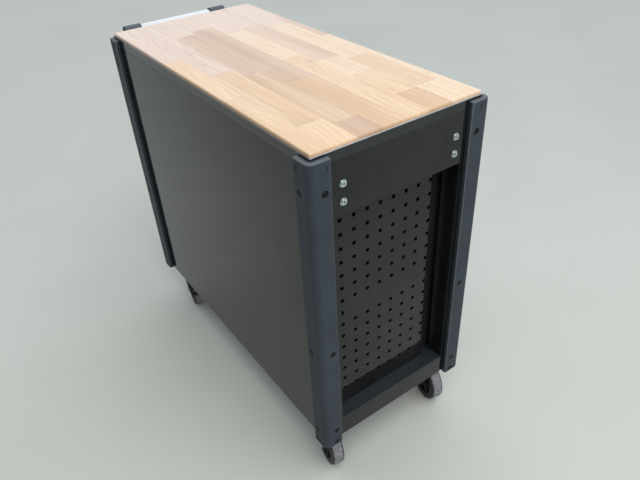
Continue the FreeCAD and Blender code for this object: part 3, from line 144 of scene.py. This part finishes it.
# Broad lamp
LAMP_PLACE = (-1.9, 0.4, 3.4)
LAMP_AIM = (0.0, 0.0, 0.5)
LAMP_SIZE = 3.0
LAMP_ENERGY = 55.0
LAMP_COLOUR = (1.0, 0.95, 0.88)


class Nodes:
    """A node tree, filled by short calls that return sockets."""

    def __init__(self, tree):
        self.tree = tree
        self.tree.nodes.clear()

    def feed(self, socket, value):
        """A socket takes either another node's output or a constant."""
        if value is None:
            return
        if isinstance(value, bpy.types.NodeSocket):
            self.tree.links.new(value, socket)
        elif socket.type == "RGBA":
            socket.default_value = (*value, 1.0)
        else:
            socket.default_value = value

    def split(self, vector):
        """The three coordinates of a vector."""
        node = self.tree.nodes.new("ShaderNodeSeparateXYZ")
        self.feed(node.inputs[0], vector)
        return node.outputs[0], node.outputs[1], node.outputs[2]

    def join(self, x, y, z):
        """A vector of three coordinates."""
        node = self.tree.nodes.new("ShaderNodeCombineXYZ")
        for socket, value in zip(node.inputs, (x, y, z)):
            self.feed(socket, value)
        return node.outputs[0]

    def math(self, operation, *values):
        """One step of arithmetic."""
        node = self.tree.nodes.new("ShaderNodeMath")
        node.operation = operation
        for socket, value in zip(node.inputs, values):
            self.feed(socket, value)
        return node.outputs[0]

    def plus(self, first, *others):
        """Sum of two or more values."""
        for other in others:
            first = self.math("ADD", first, other)
        return first

    def minus(self, first, second):
        """Difference of two values."""
        return self.math("SUBTRACT", first, second)

    def times(self, first, *others):
        """Product of two or more values."""
        for other in others:
            first = self.math("MULTIPLY", first, other)
        return first

    def jitter(self, noise, amount):
        """A noise moved to lie round zero, times an amount."""
        return self.times(self.minus(noise, 0.5), amount)


class Graph(Nodes):
    """A material with one principled shader."""

    def __init__(self, name):
        self.material = bpy.data.materials.new(name)
        self.material.use_nodes = True
        super().__init__(self.material.node_tree)
        output = self.tree.nodes.new("ShaderNodeOutputMaterial")
        self.shader = self.tree.nodes.new("ShaderNodeBsdfPrincipled")
        self.tree.links.new(self.shader.outputs[0], output.inputs["Surface"])

    def set(self, **values):
        """Sets the shader's own sockets, by their names with underscores."""
        for key, value in values.items():
            self.feed(self.shader.inputs[key.replace("_", " ")], value)

    def place(self):
        """The point on the object in the shared frame."""
        return self.tree.nodes.new("ShaderNodeTexCoord").outputs["Object"]

    def scaled(self, vector, factors):
        """A vector multiplied by three factors."""
        node = self.tree.nodes.new("ShaderNodeVectorMath")
        node.operation = "MULTIPLY"
        self.feed(node.inputs[0], vector)
        node.inputs[1].default_value = factors
        return node.outputs[0]

    def added(self, first, second):
        """The sum of two vectors."""
        node = self.tree.nodes.new("ShaderNodeVectorMath")
        node.operation = "ADD"
        self.feed(node.inputs[0], first)
        self.feed(node.inputs[1], second)
        return node.outputs[0]

    def more(self, vector, factor, step):
        """A vector plus a constant step times a factor."""
        node = self.tree.nodes.new("ShaderNodeVectorMath")
        node.operation = "SCALE"
        node.inputs[0].default_value = step
        self.feed(node.inputs["Scale"], factor)
        return self.added(vector, node.outputs[0])

    def noise(self, vector, scale, detail=3.0, roughness=0.5, distortion=0.0):
        """Soft random values between about 0.2 and 0.8."""
        node = self.tree.nodes.new("ShaderNodeTexNoise")
        self.feed(node.inputs["Vector"], vector)
        node.inputs["Scale"].default_value = scale
        node.inputs["Detail"].default_value = detail
        node.inputs["Roughness"].default_value = roughness
        node.inputs["Distortion"].default_value = distortion
        return node.outputs["Fac"]

    def cells(self, vector, scale):
        """Distance to the nearest of scattered points."""
        node = self.tree.nodes.new("ShaderNodeTexVoronoi")
        node.feature = "F1"
        self.feed(node.inputs["Vector"], vector)
        node.inputs["Scale"].default_value = scale
        return node.outputs["Distance"]

    def random(self, vector):
        """Three unrelated values for each different vector."""
        node = self.tree.nodes.new("ShaderNodeTexWhiteNoise")
        node.noise_dimensions = "3D"
        self.feed(node.inputs["Vector"], vector)
        return self.split(node.outputs["Color"])

    def remap(self, value, low, high, to_low=0.0, to_high=1.0):
        """A value moved from one range to another, held inside it."""
        node = self.tree.nodes.new("ShaderNodeMapRange")
        node.clamp = True
        keys = ("Value", "From Min", "From Max", "To Min", "To Max")
        for key, amount in zip(keys, (value, low, high, to_low, to_high)):
            self.feed(node.inputs[key], amount)
        return node.outputs[0]

    def mix(self, amount, first, second):
        """Two colours mixed."""
        node = self.tree.nodes.new("ShaderNodeMix")
        node.data_type = "RGBA"
        node.blend_type = "MIX"
        node.clamp_factor = True
        self.feed(node.inputs[0], amount)
        self.feed(node.inputs[6], first)
        self.feed(node.inputs[7], second)
        return node.outputs[2]

    def bump(self, height, strength, distance, normal=None):
        """Relief from a height, in metres."""
        node = self.tree.nodes.new("ShaderNodeBump")
        node.inputs["Strength"].default_value = strength
        node.inputs["Distance"].default_value = distance
        self.feed(node.inputs["Height"], height)
        self.feed(node.inputs["Normal"], normal)
        return node.outputs[0]

    def rounded(self, radius):
        """A normal that softens sheared edges, as paint does."""
        node = self.tree.nodes.new("ShaderNodeBevel")
        node.samples = AROUND_SAMPLES
        node.inputs["Radius"].default_value = radius
        return node.outputs[0]

    def facing(self, direction):
        """How far the surface of the piece at rest faces a direction, from 1 to -1."""
        normal = self.tree.nodes.new("ShaderNodeTexCoord").outputs["Normal"]
        node = self.tree.nodes.new("ShaderNodeVectorMath")
        node.operation = "DOT_PRODUCT"
        self.feed(node.inputs[0], normal)
        node.inputs[1].default_value = direction
        return node.outputs["Value"]

    def openness(self, reach):
        """How open the surface lies: 1 on a free face, less in a hole or corner."""
        node = self.tree.nodes.new("ShaderNodeAmbientOcclusion")
        node.samples = AROUND_SAMPLES
        node.inputs["Distance"].default_value = reach
        return node.outputs["AO"]

    def ellipse(self, x, y, centre, half):
        """Distance from an ellipse's middle, 1 on its outline."""
        across = self.math("DIVIDE", self.minus(x, centre[0]), half[0])
        along = self.math("DIVIDE", self.minus(y, centre[1]), half[1])
        squares = self.plus(self.math("POWER", across, 2.0), self.math("POWER", along, 2.0))
        return self.math("SQRT", squares)


def stave_rows(g, x, row):
    """Tone of the stave at a place, with the painted sheen at the far end, a number that differs from
    stave to stave, and the butt joints.
    """
    tone = lot = joint = None
    for number, line in enumerate(STAVES):
        colours, joints = line[0::2], line[1::2]
        row_tone = g.join(*TONES[colours[0]])
        row_lot = float(number)
        row_joint = 0.0
        for place, before, after in zip(joints, colours, colours[1:]):
            past = g.math("GREATER_THAN", x, place)
            step = tuple(b - a for a, b in zip(TONES[before], TONES[after]))
            row_tone = g.more(row_tone, past, step)
            row_lot = g.plus(row_lot, g.times(past, LOT_STEP))
            row_joint = g.math("MAXIMUM", row_joint, g.math("COMPARE", x, place, BUTT_HALF_WIDTH))
        if tone is None:
            tone, lot, joint = row_tone, row_lot, row_joint
            continue
        here = g.math("GREATER_THAN", row, number - 0.5)
        before_here = g.minus(1.0, here)
        tone = g.mix(here, tone, row_tone)
        lot = g.plus(g.times(lot, before_here), g.times(row_lot, here))
        joint = g.plus(g.times(joint, before_here), g.times(row_joint, here))
    return tone, lot, joint


def growth_rings(g, x, y, across, figure):
    """Growth rings, 0 to 1, which wander along a stave and bend round the large knots."""
    place = g.plus(g.times(across, RINGS_PER_METRE), g.times(figure["wander"], RING_WANDER))
    for knot_x, knot_y, length, width, _ in BENDING_KNOTS:
        half = (length * KNOT_REACH, width * KNOT_REACH)
        far = g.ellipse(x, y, (knot_x, knot_y), half)
        place = g.plus(place, g.times(g.math("EXPONENT", g.times(far, -1.0)), KNOT_BEND))
    place = g.plus(place, g.times(figure["ripple"], RING_RIPPLE))
    wave = g.math("SINE", g.times(place, FULL_TURN))
    return g.math("POWER", g.plus(0.5, g.times(wave, 0.5)), 2.0)


def add_flame(g, x, y, ripple, colour):
    """The board's colour with the brown wedge on it."""
    brown, line = (0.47, 0.33, 0.20), (0.42, 0.27, 0.15)
    half = g.remap(x, FLAME_START, FLAME_TIP, FLAME_HALF, FLAME_TIP_HALF)
    flame = g.math("DIVIDE", g.math("ABSOLUTE", g.minus(y, FLAME_MIDDLE)), half)
    flame = g.plus(flame, g.jitter(ripple, 0.5))
    inside = g.times(g.remap(flame, 0.80, 1.08, 1.0, 0.0), g.math("GREATER_THAN", x, FLAME_START))
    from_line = g.math("ABSOLUTE", g.minus(flame, 0.92))
    outline = g.times(g.remap(from_line, 0.0, 0.22, 1.0, 0.0), inside)
    root = g.remap(x, FLAME_START, FLAME_START + FLAME_ROOT, 0.45, 0.12)
    colour = g.mix(g.times(inside, root), colour, brown)
    return g.mix(g.times(outline, 0.35), colour, line)


def add_knots(g, x, y, ripple, colour):
    """The board's colour with its knots on it."""
    brown = (0.40, 0.25, 0.17)
    for knot_x, knot_y, length, width, strength in KNOTS:
        far = g.ellipse(x, y, (knot_x, knot_y), (length, width))
        far = g.plus(far, g.jitter(ripple, 1.2))
        colour = g.mix(g.remap(far, 0.35, 1.15, strength, 0.0), colour, brown)
    return colour


def wood():
    """Board of lacquered hardwood staves, joined end to end in staggered rows."""
    sheen, stain, fibre_brown = (0.90, 0.74, 0.55), (0.44, 0.25, 0.13), (0.50, 0.31, 0.18)
    fleck_brown, pore_brown, glue_brown = (0.52, 0.32, 0.18), (0.30, 0.17, 0.09), (0.36, 0.22, 0.12)
    g = Graph("wood_staves")
    place = g.place()
    x, y, _ = g.split(place)
    across = g.math("DIVIDE", g.minus(STAVE_BACK_EDGE, y), STAVE_WIDTH)
    tone, lot, joint = stave_rows(g, x, g.math("FLOOR", across))
    lot_x, lot_y, lot_z = g.random(g.join(lot, 1.3, 2.0))

    # Each stave takes its figure from another place
    local = g.added(place, g.join(g.times(lot_x, 7.0), g.times(lot_y, 3.0), g.times(lot_z, 5.0)))
    figure = {name: g.noise(g.scaled(local, stretch), 1.0, *shape)
              for name, (stretch, *shape) in FIGURE.items()}
    rings = growth_rings(g, x, y, g.split(local)[1], figure)
    pores = g.remap(figure["pores"], 0.62, 0.74)
    flecks = g.times(g.remap(figure["flecks"], 0.60, 0.72), g.remap(lot_y, 0.35, 0.75, 0.05, 0.50))

    light = g.mix(g.remap(figure["broad"], 0.35, 0.65, 0.35, 0.0), tone, sheen)
    deep = g.mix(0.60, tone, stain)
    colour = g.mix(g.times(rings, g.remap(lot_z, 0.0, 1.0, 0.16, 0.42)), light, deep)
    colour = g.mix(g.remap(figure["streak"], 0.47, 0.72, 0.0, 0.48), colour, deep)
    colour = g.mix(g.remap(figure["fibre"], 0.35, 0.7, 0.32, 0.0), colour, fibre_brown)
    colour = g.mix(flecks, colour, fleck_brown)
    colour = g.mix(g.times(pores, 0.40), colour, pore_brown)
    colour = add_flame(g, x, y, figure["ripple"], colour)
    colour = add_knots(g, x, y, figure["ripple"], colour)
    from_middle = g.math("ABSOLUTE", g.minus(g.math("FRACT", across), 0.5))
    seam = g.math("MAXIMUM", g.remap(from_middle, 0.492, 0.498), joint)
    colour = g.mix(g.times(seam, 0.30), colour, glue_brown)

    cloud = g.noise(place, 5.0, 3.0)
    relief = g.minus(g.times(figure["fibre"], 0.5), g.plus(pores, g.times(seam, 1.4)))
    g.set(Base_Color=colour, Roughness=g.remap(cloud, 0.3, 0.7, 0.36, 0.50),
          Specular_IOR_Level=0.4, Coat_Weight=0.6, Coat_Roughness=0.22,
          Normal=g.bump(relief, 0.30, 0.0002, g.rounded(0.0008)))
    return g.material


def tray():
    """Gloss tray whose sheared upper edge carries a painted highlight, coloured as metal and dimmed by
    painted shade on the back run.
    """
    clean, dusty = (0.010, 0.011, 0.013), (0.028, 0.030, 0.033)
    edge_highlight, edge_highlight_peak = (0.50, 0.48, 0.50), (0.66, 0.64, 0.66)
    g = Graph("tray_gloss")
    place = g.place()
    _, y, z = g.split(place)
    dust = g.noise(place, 12.0, 5.0, 0.62)
    orange = g.noise(place, 900.0, 2.0, 0.4)
    lip_jitter = g.noise(g.scaled(place, (60.0, 60.0, 400.0)), 1.0, 3.0, 0.6)
    edge = g.plus(z, g.jitter(lip_jitter, 0.0010))
    lip = TRAY_RIM - TRAY_LIP
    # Painted highlight along the lip, coloured as metal; painted shade dims it on the back run
    bright = g.remap(edge, lip - TRAY_BLEND, lip + TRAY_BLEND)
    bright = g.times(bright, g.remap(y, TRAY_BACK, TRAY_BACK + TRAY_BACK_BLEND, 1.0, 0.25))
    dark = g.mix(g.remap(dust, 0.42, 0.72, 0.0, 0.5), clean, dusty)
    g.set(Base_Color=g.mix(bright, dark, g.mix(lip_jitter, edge_highlight, edge_highlight_peak)), Metallic=g.times(bright, 0.6),
          Roughness=g.remap(bright, 0.0, 1.0, 0.10, 0.34), Specular_IOR_Level=0.5,
          Normal=g.bump(orange, 0.20, 0.00005, g.rounded(0.0006)))
    return g.material


def paint(name, colour, roughness, peel=0.25):
    """Powder coat: orange peel, slow waves, a film of dust, a lighter and bluer tone on what faces up,
    and a few fine scratches.
    """
    dusty = tuple(c * 1.5 + 0.014 for c in colour)
    upward_tint, speck, scratched = (0.045, 0.055, 0.070), (0.16, 0.16, 0.15), (0.10, 0.105, 0.11)
    g = Graph(name)
    place = g.place()
    orange = g.noise(place, 700.0, 2.0, 0.4)
    waves = g.noise(place, 26.0, 1.0)
    dust = g.noise(place, 7.0, 6.0, 0.66)
    specks = g.noise(place, 1500.0, 1.0)
    scratch = g.noise(g.scaled(place, (18.0, 18.0, 240.0)), 2.0, 2.0, 0.5, 1.2)
    # What faces up is made lighter and bluer
    up = g.remap(g.facing(UP), 0.35, 0.95, 0.0, 0.35)
    film = g.plus(g.remap(dust, 0.38, 0.74, 0.0, 0.5), up)
    shade = g.mix(up, g.mix(film, colour, dusty), upward_tint)
    shade = g.mix(g.remap(specks, 0.70, 0.76, 0.0, 0.35), shade, speck)
    shade = g.mix(g.remap(scratch, 0.70, 0.73, 0.0, 0.18), shade, scratched)
    rough = g.plus(g.remap(dust, 0.35, 0.75, roughness, roughness + 0.07), g.times(up, 0.25))
    relief = g.bump(waves, 0.5, 0.00025, g.rounded(0.0007))
    g.set(Base_Color=shade, Roughness=rough, Specular_IOR_Level=0.33,
          Normal=g.bump(orange, peel, 0.00004, relief))
    return g.material


def leg_edge(g, along, out, edge, face):
    """Mask along one leg's free edge: from the edge inwards, on the skin of the outer face."""
    mask = g.times(g.remap(along, edge, edge + EDGE_WIDTH, 1.0, 0.0),
                   g.math("GREATER_THAN", along, edge - EDGE_SLACK))
    return g.times(mask, g.remap(out, face - EDGE_WIDTH, face - FACE_SKIN))


def free_edges(g, place):
    """Mask along the free edges of the posts' legs, where the plastic is painted pale as a highlight.
    """
    x, y, _ = g.split(place)
    x, y = g.math("ABSOLUTE", x), g.math("ABSOLUTE", y)
    return g.math("MAXIMUM", leg_edge(g, y, x, POST_EDGE_Y, POST_FACE_X),
                  leg_edge(g, x, y, POST_EDGE_X, POST_FACE_Y))


def moulding():
    """Grained plastic of the corner posts and the handle's brackets, with dust and a painted highlight
    on what faces up, a painted highlight along the posts' free edges, and painted shade in its
    recesses.
    """
    dark, light, grained = (0.033, 0.042, 0.053), (0.044, 0.055, 0.068), (0.062, 0.070, 0.080)
    scuffed, dusty, pale = (0.12, 0.13, 0.14), (0.17, 0.19, 0.21), (0.20, 0.22, 0.24)
    painted_crevice_shade = (0.004, 0.004, 0.005)
    g = Graph("grained_plastic")
    place = g.place()
    grain = g.cells(place, 900.0)
    fine = g.noise(place, 2600.0, 2.0)
    cloud = g.noise(place, 11.0, 5.0, 0.6)
    scuff = g.noise(g.scaled(place, (30.0, 30.0, 6.0)), 3.0, 5.0, 0.7)
    up = g.remap(g.facing(UP), 0.10, 0.80)
    edge_highlight = g.times(free_edges(g, place), g.remap(scuff, 0.35, 0.60, 0.55, 0.95))
    shade = g.mix(g.remap(cloud, 0.35, 0.7), dark, light)
    shade = g.mix(g.remap(grain, 0.2, 0.7, 0.0, 0.30), shade, grained)
    shade = g.mix(g.remap(scuff, 0.64, 0.80, 0.0, 0.35), shade, scuffed)
    # Dust and a painted highlight: what faces up, the posts' top rims among it, made paler
    shade = g.mix(g.times(up, 0.55), shade, dusty)
    # Painted highlight: the posts' free edges made pale
    shade = g.mix(edge_highlight, shade, pale)
    # Painted shade: counterbores, crevices and joints darkened towards near black
    shade = g.mix(g.remap(g.openness(0.008), 0.45, 0.80, 0.9, 0.0), shade, painted_crevice_shade)
    height = g.plus(g.times(grain, 0.8), g.times(fine, 0.4))
    g.set(Base_Color=shade, Roughness=g.remap(cloud, 0.3, 0.7, 0.44, 0.54),
          Specular_IOR_Level=0.08, Normal=g.bump(height, 0.40, 0.00015, g.rounded(0.0008)))
    return g.material


def metal(name, colour, roughness, grain=(1.0, 1.0, 1.0), grain_scale=300.0, crevice_darkening=0.7):
    """Plated or uncoated metal, with fine drawing marks, a little dirt and painted shade in its
    crevices.
    """
    stained = tuple(c * 0.55 for c in colour)
    warm = tuple(c * w for c, w in zip(colour, (0.95, 0.93, 0.86)))
    painted_crevice_shade = (0.02, 0.022, 0.024)
    g = Graph(name)
    place = g.place()
    marks = g.noise(g.scaled(place, grain), grain_scale, 3.0, 0.6)
    stain = g.remap(g.noise(place, 45.0, 4.0, 0.6), 0.52, 0.75)
    shade = g.mix(g.remap(marks, 0.35, 0.65), colour, warm)
    shade = g.mix(g.times(stain, 0.25), shade, stained)
    # Painted shade: crevices and recesses darkened
    shade = g.mix(g.remap(g.openness(0.005), 0.30, 0.85, crevice_darkening, 0.0), shade, painted_crevice_shade)
    rough = g.plus(g.remap(marks, 0.3, 0.7, roughness, roughness + 0.12), g.times(stain, 0.1))
    g.set(Base_Color=shade, Metallic=1.0, Roughness=rough,
          Normal=g.bump(marks, 0.15, 0.00005, g.rounded(0.0004)))
    return g.material


def chrome():
    """Bright tube with faint smears."""
    clean, smeared = (0.86, 0.87, 0.89), (0.76, 0.76, 0.76)
    g = Graph("chrome_tube")
    place = g.place()
    smear = g.noise(g.scaled(place, (20.0, 5.0, 20.0)), 3.0, 5.0, 0.65)
    pits = g.noise(place, 800.0, 1.0)
    g.set(Base_Color=g.mix(g.remap(smear, 0.45, 0.8), clean, smeared), Metallic=1.0,
          Roughness=g.remap(smear, 0.35, 0.8, 0.05, 0.16), Normal=g.bump(pits, 0.05, 0.00003))
    return g.material


def axle_heads(g, place):
    """Mask of the axle bolts' heads, on the outer sides of the forks at rest."""
    x, y, z = g.split(place)
    sine, cosine = math.sin(TURN), math.cos(TURN)
    dx = g.plus(g.minus(x, g.times(g.math("SIGN", x), CASTER_X)), TRAIL * cosine)
    dy = g.minus(g.minus(y, g.times(g.math("SIGN", y), CASTER_Y)), TRAIL * sine)
    aside = g.plus(g.times(dx, sine), g.times(dy, cosine))
    along = g.minus(g.times(dx, cosine), g.times(dy, sine))
    radius = g.ellipse(along, z, (0.0, AXLE_HEIGHT), (AXLE_HEAD_RADIUS, AXLE_HEAD_RADIUS))
    outside = g.math("GREATER_THAN", g.math("ABSOLUTE", aside), LEG_OUTSIDE)
    return g.times(g.math("LESS_THAN", radius, 1.0), outside)


def fork():
    """Black pressed fork; the heads of its axle bolt are zinc."""
    black, dusty = (0.012, 0.013, 0.015), (0.085, 0.085, 0.082)
    zinc, dull_zinc = (0.74, 0.76, 0.79), (0.60, 0.61, 0.62)
    g = Graph("fork_black")
    place = g.place()
    bolt = axle_heads(g, place)
    cloud = g.noise(place, 45.0, 5.0, 0.65)
    grit = g.noise(place, 900.0, 2.0, 0.6)
    dust = g.times(g.remap(cloud, 0.45, 0.70), g.remap(grit, 0.35, 0.65))
    shade = g.mix(g.times(dust, 0.5), black, dusty)
    g.set(Base_Color=g.mix(bolt, shade, g.mix(cloud, zinc, dull_zinc)), Metallic=bolt,
          Roughness=g.remap(cloud, 0.3, 0.7, 0.24, 0.36), Specular_IOR_Level=0.5,
          Normal=g.bump(grit, 0.2, 0.00006, g.rounded(0.0006)))
    return g.material


def hub():
    """Dull moulded hub with a film of dust."""
    black, dusty = (0.018, 0.018, 0.020), (0.09, 0.088, 0.085)
    g = Graph("hub_plastic")
    place = g.place()
    cloud = g.noise(place, 38.0, 5.0, 0.65)
    grit = g.noise(place, 900.0, 3.0, 0.6)
    dust = g.times(g.remap(cloud, 0.40, 0.70), g.remap(grit, 0.35, 0.65))
    g.set(Base_Color=g.mix(g.times(dust, 0.65), black, dusty),
          Roughness=g.remap(cloud, 0.3, 0.7, 0.42, 0.54), Specular_IOR_Level=0.4,
          Normal=g.bump(grit, 0.35, 0.00012, g.rounded(0.0006)))
    return g.material


def tyre():
    """Black tyre whose tread is pale with ground-in dust."""
    clean, dusty = (0.014, 0.015, 0.017), (0.05, 0.05, 0.05)
    tread_pale, tread_grey = (0.34, 0.34, 0.37), (0.15, 0.15, 0.165)
    g = Graph("tyre_rubber")
    place = g.place()
    sideways = g.math("ABSOLUTE", g.facing((math.sin(TURN), math.cos(TURN), 0.0)))
    cloud = g.noise(place, 60.0, 5.0, 0.68)
    grit = g.noise(place, 700.0, 3.0, 0.6)
    blotch = g.noise(place, 150.0, 3.0, 0.6)
    tread = g.remap(g.plus(sideways, g.jitter(cloud, 0.5)), 0.08, 0.50, 1.0, 0.0)
    worn = g.times(tread, g.remap(blotch, 0.30, 0.66, 0.35, 1.0))
    black = g.mix(g.remap(cloud, 0.45, 0.75, 0.0, 0.5), clean, dusty)
    pale = g.mix(g.remap(grit, 0.35, 0.65), tread_pale, tread_grey)
    g.set(Base_Color=g.mix(worn, black, pale), Roughness=g.remap(cloud, 0.3, 0.7, 0.42, 0.60),
          Specular_IOR_Level=0.45, Normal=g.bump(grit, 0.35, 0.00012))
    return g.material


FINISHES = {
    "wood": wood(),
    "tray_paint": tray(),
    "casing_paint": paint("casing_gloss", (0.0065, 0.0075, 0.008), 0.045),
    "inner_paint": paint("inner_satin", (0.012, 0.013, 0.014), 0.28, 0.4),
    "drawer_paint": paint("drawer_gloss", (0.008, 0.009, 0.010), 0.06),
    "grip_aluminium": metal("anodised_grip", (0.66, 0.67, 0.69), 0.24, (4.0, 400.0, 400.0), 6.0),
    "moulding": moulding(),
    "black_screw": metal("blackened_screw", (0.045, 0.047, 0.052), 0.34, crevice_darkening=0.95),
    "zinc": metal("zinc_plate", (0.60, 0.69, 0.70), 0.24),
    "chrome": chrome(),
    "lock_metal": metal("nickel_lock", (0.68, 0.67, 0.65), 0.16),
    "fork_paint": fork(),
    "hub_plastic": hub(),
    "tyre": tyre(),
}


def finish_nodes():
    """Gives each piece the finish of its slot."""
    slots = {part["node"]: part["material_slot"] for part in frame["record"]["subparts"]}
    for name, piece in NODES.items():
        piece.data.materials.clear()
        piece.data.materials.append(FINISHES[slots[name]])


def make_floor():
    """Pale ground under the cabinet."""
    angles = [2 * math.pi * i / FLOOR_SIDES for i in range(FLOOR_SIDES)]
    points = [(FLOOR_RADIUS * math.cos(a), FLOOR_RADIUS * math.sin(a), 0) for a in angles]
    mesh = bpy.data.meshes.new("floor")
    mesh.from_pydata(points, [], [tuple(range(FLOOR_SIDES))])
    floor = bpy.data.objects.new("floor", mesh)
    bpy.context.scene.collection.objects.link(floor)
    g = Graph("floor_plain")
    cloud = g.noise(g.place(), 1.5, 3.0)
    patch = tuple(c * FLOOR_PATCHES for c in FLOOR_COLOUR)
    g.set(Base_Color=g.mix(g.remap(cloud, 0.35, 0.65), FLOOR_COLOUR, patch), Roughness=0.85)
    mesh.materials.append(g.material)


def make_sky():
    """Overcast sky, brighter towards the two ends and darker behind the back panel."""
    world = bpy.data.worlds.new("overcast")
    bpy.context.scene.world = world
    world.use_nodes = True
    g = Nodes(world.node_tree)
    output = g.tree.nodes.new("ShaderNodeOutputWorld")
    sky = g.tree.nodes.new("ShaderNodeBackground")
    x, y, z = g.split(g.tree.nodes.new("ShaderNodeTexCoord").outputs["Generated"])
    ends = g.times(g.math("POWER", g.math("ABSOLUTE", x), 2.0), SKY_ENDS)
    back = g.times(y, SKY_BACK)
    high = g.times(g.math("MAXIMUM", z, 0.0), SKY_HEIGHT)
    g.feed(sky.inputs["Color"], SKY)
    g.feed(sky.inputs["Strength"], g.math("MAXIMUM", g.plus(ends, back, high, SKY_LEVEL), SKY_LEAST))
    g.feed(output.inputs["Surface"], sky.outputs[0])


def make_lamp():
    """Broad soft lamp above the camera's side."""
    lamp = bpy.data.lights.new("soft_lamp", "AREA")
    lamp.shape = "DISK"
    lamp.size = LAMP_SIZE
    lamp.energy = LAMP_ENERGY
    lamp.color = LAMP_COLOUR
    piece = bpy.data.objects.new("soft_lamp", lamp)
    bpy.context.scene.collection.objects.link(piece)
    piece.location = LAMP_PLACE
    aim = Vector(LAMP_AIM) - piece.location
    piece.rotation_euler = aim.to_track_quat("-Z", "Y").to_euler()


def make_camera():
    """Camera at the photograph's place."""
    turn = Vector(CAMERA_TURN)
    right, down, ahead = Matrix.Rotation(turn.length, 3, turn.normalized())
    pose = Matrix((right, -down, -ahead)).transposed().to_4x4()
    pose.translation = Vector(CAMERA_PLACE)
    data = bpy.data.cameras.new("camera")
    data.sensor_width = SENSOR_WIDTH
    data.lens = FOCAL_PIXELS / IMAGE_WIDTH * SENSOR_WIDTH
    data.clip_end = CAMERA_REACH
    camera = bpy.data.objects.new("camera", data)
    camera.matrix_world = pose
    bpy.context.scene.collection.objects.link(camera)
    bpy.context.scene.camera = camera


finish_nodes()
make_floor()
make_sky()
make_lamp()
bpy.context.scene.view_settings.view_transform = "Standard"
make_camera()
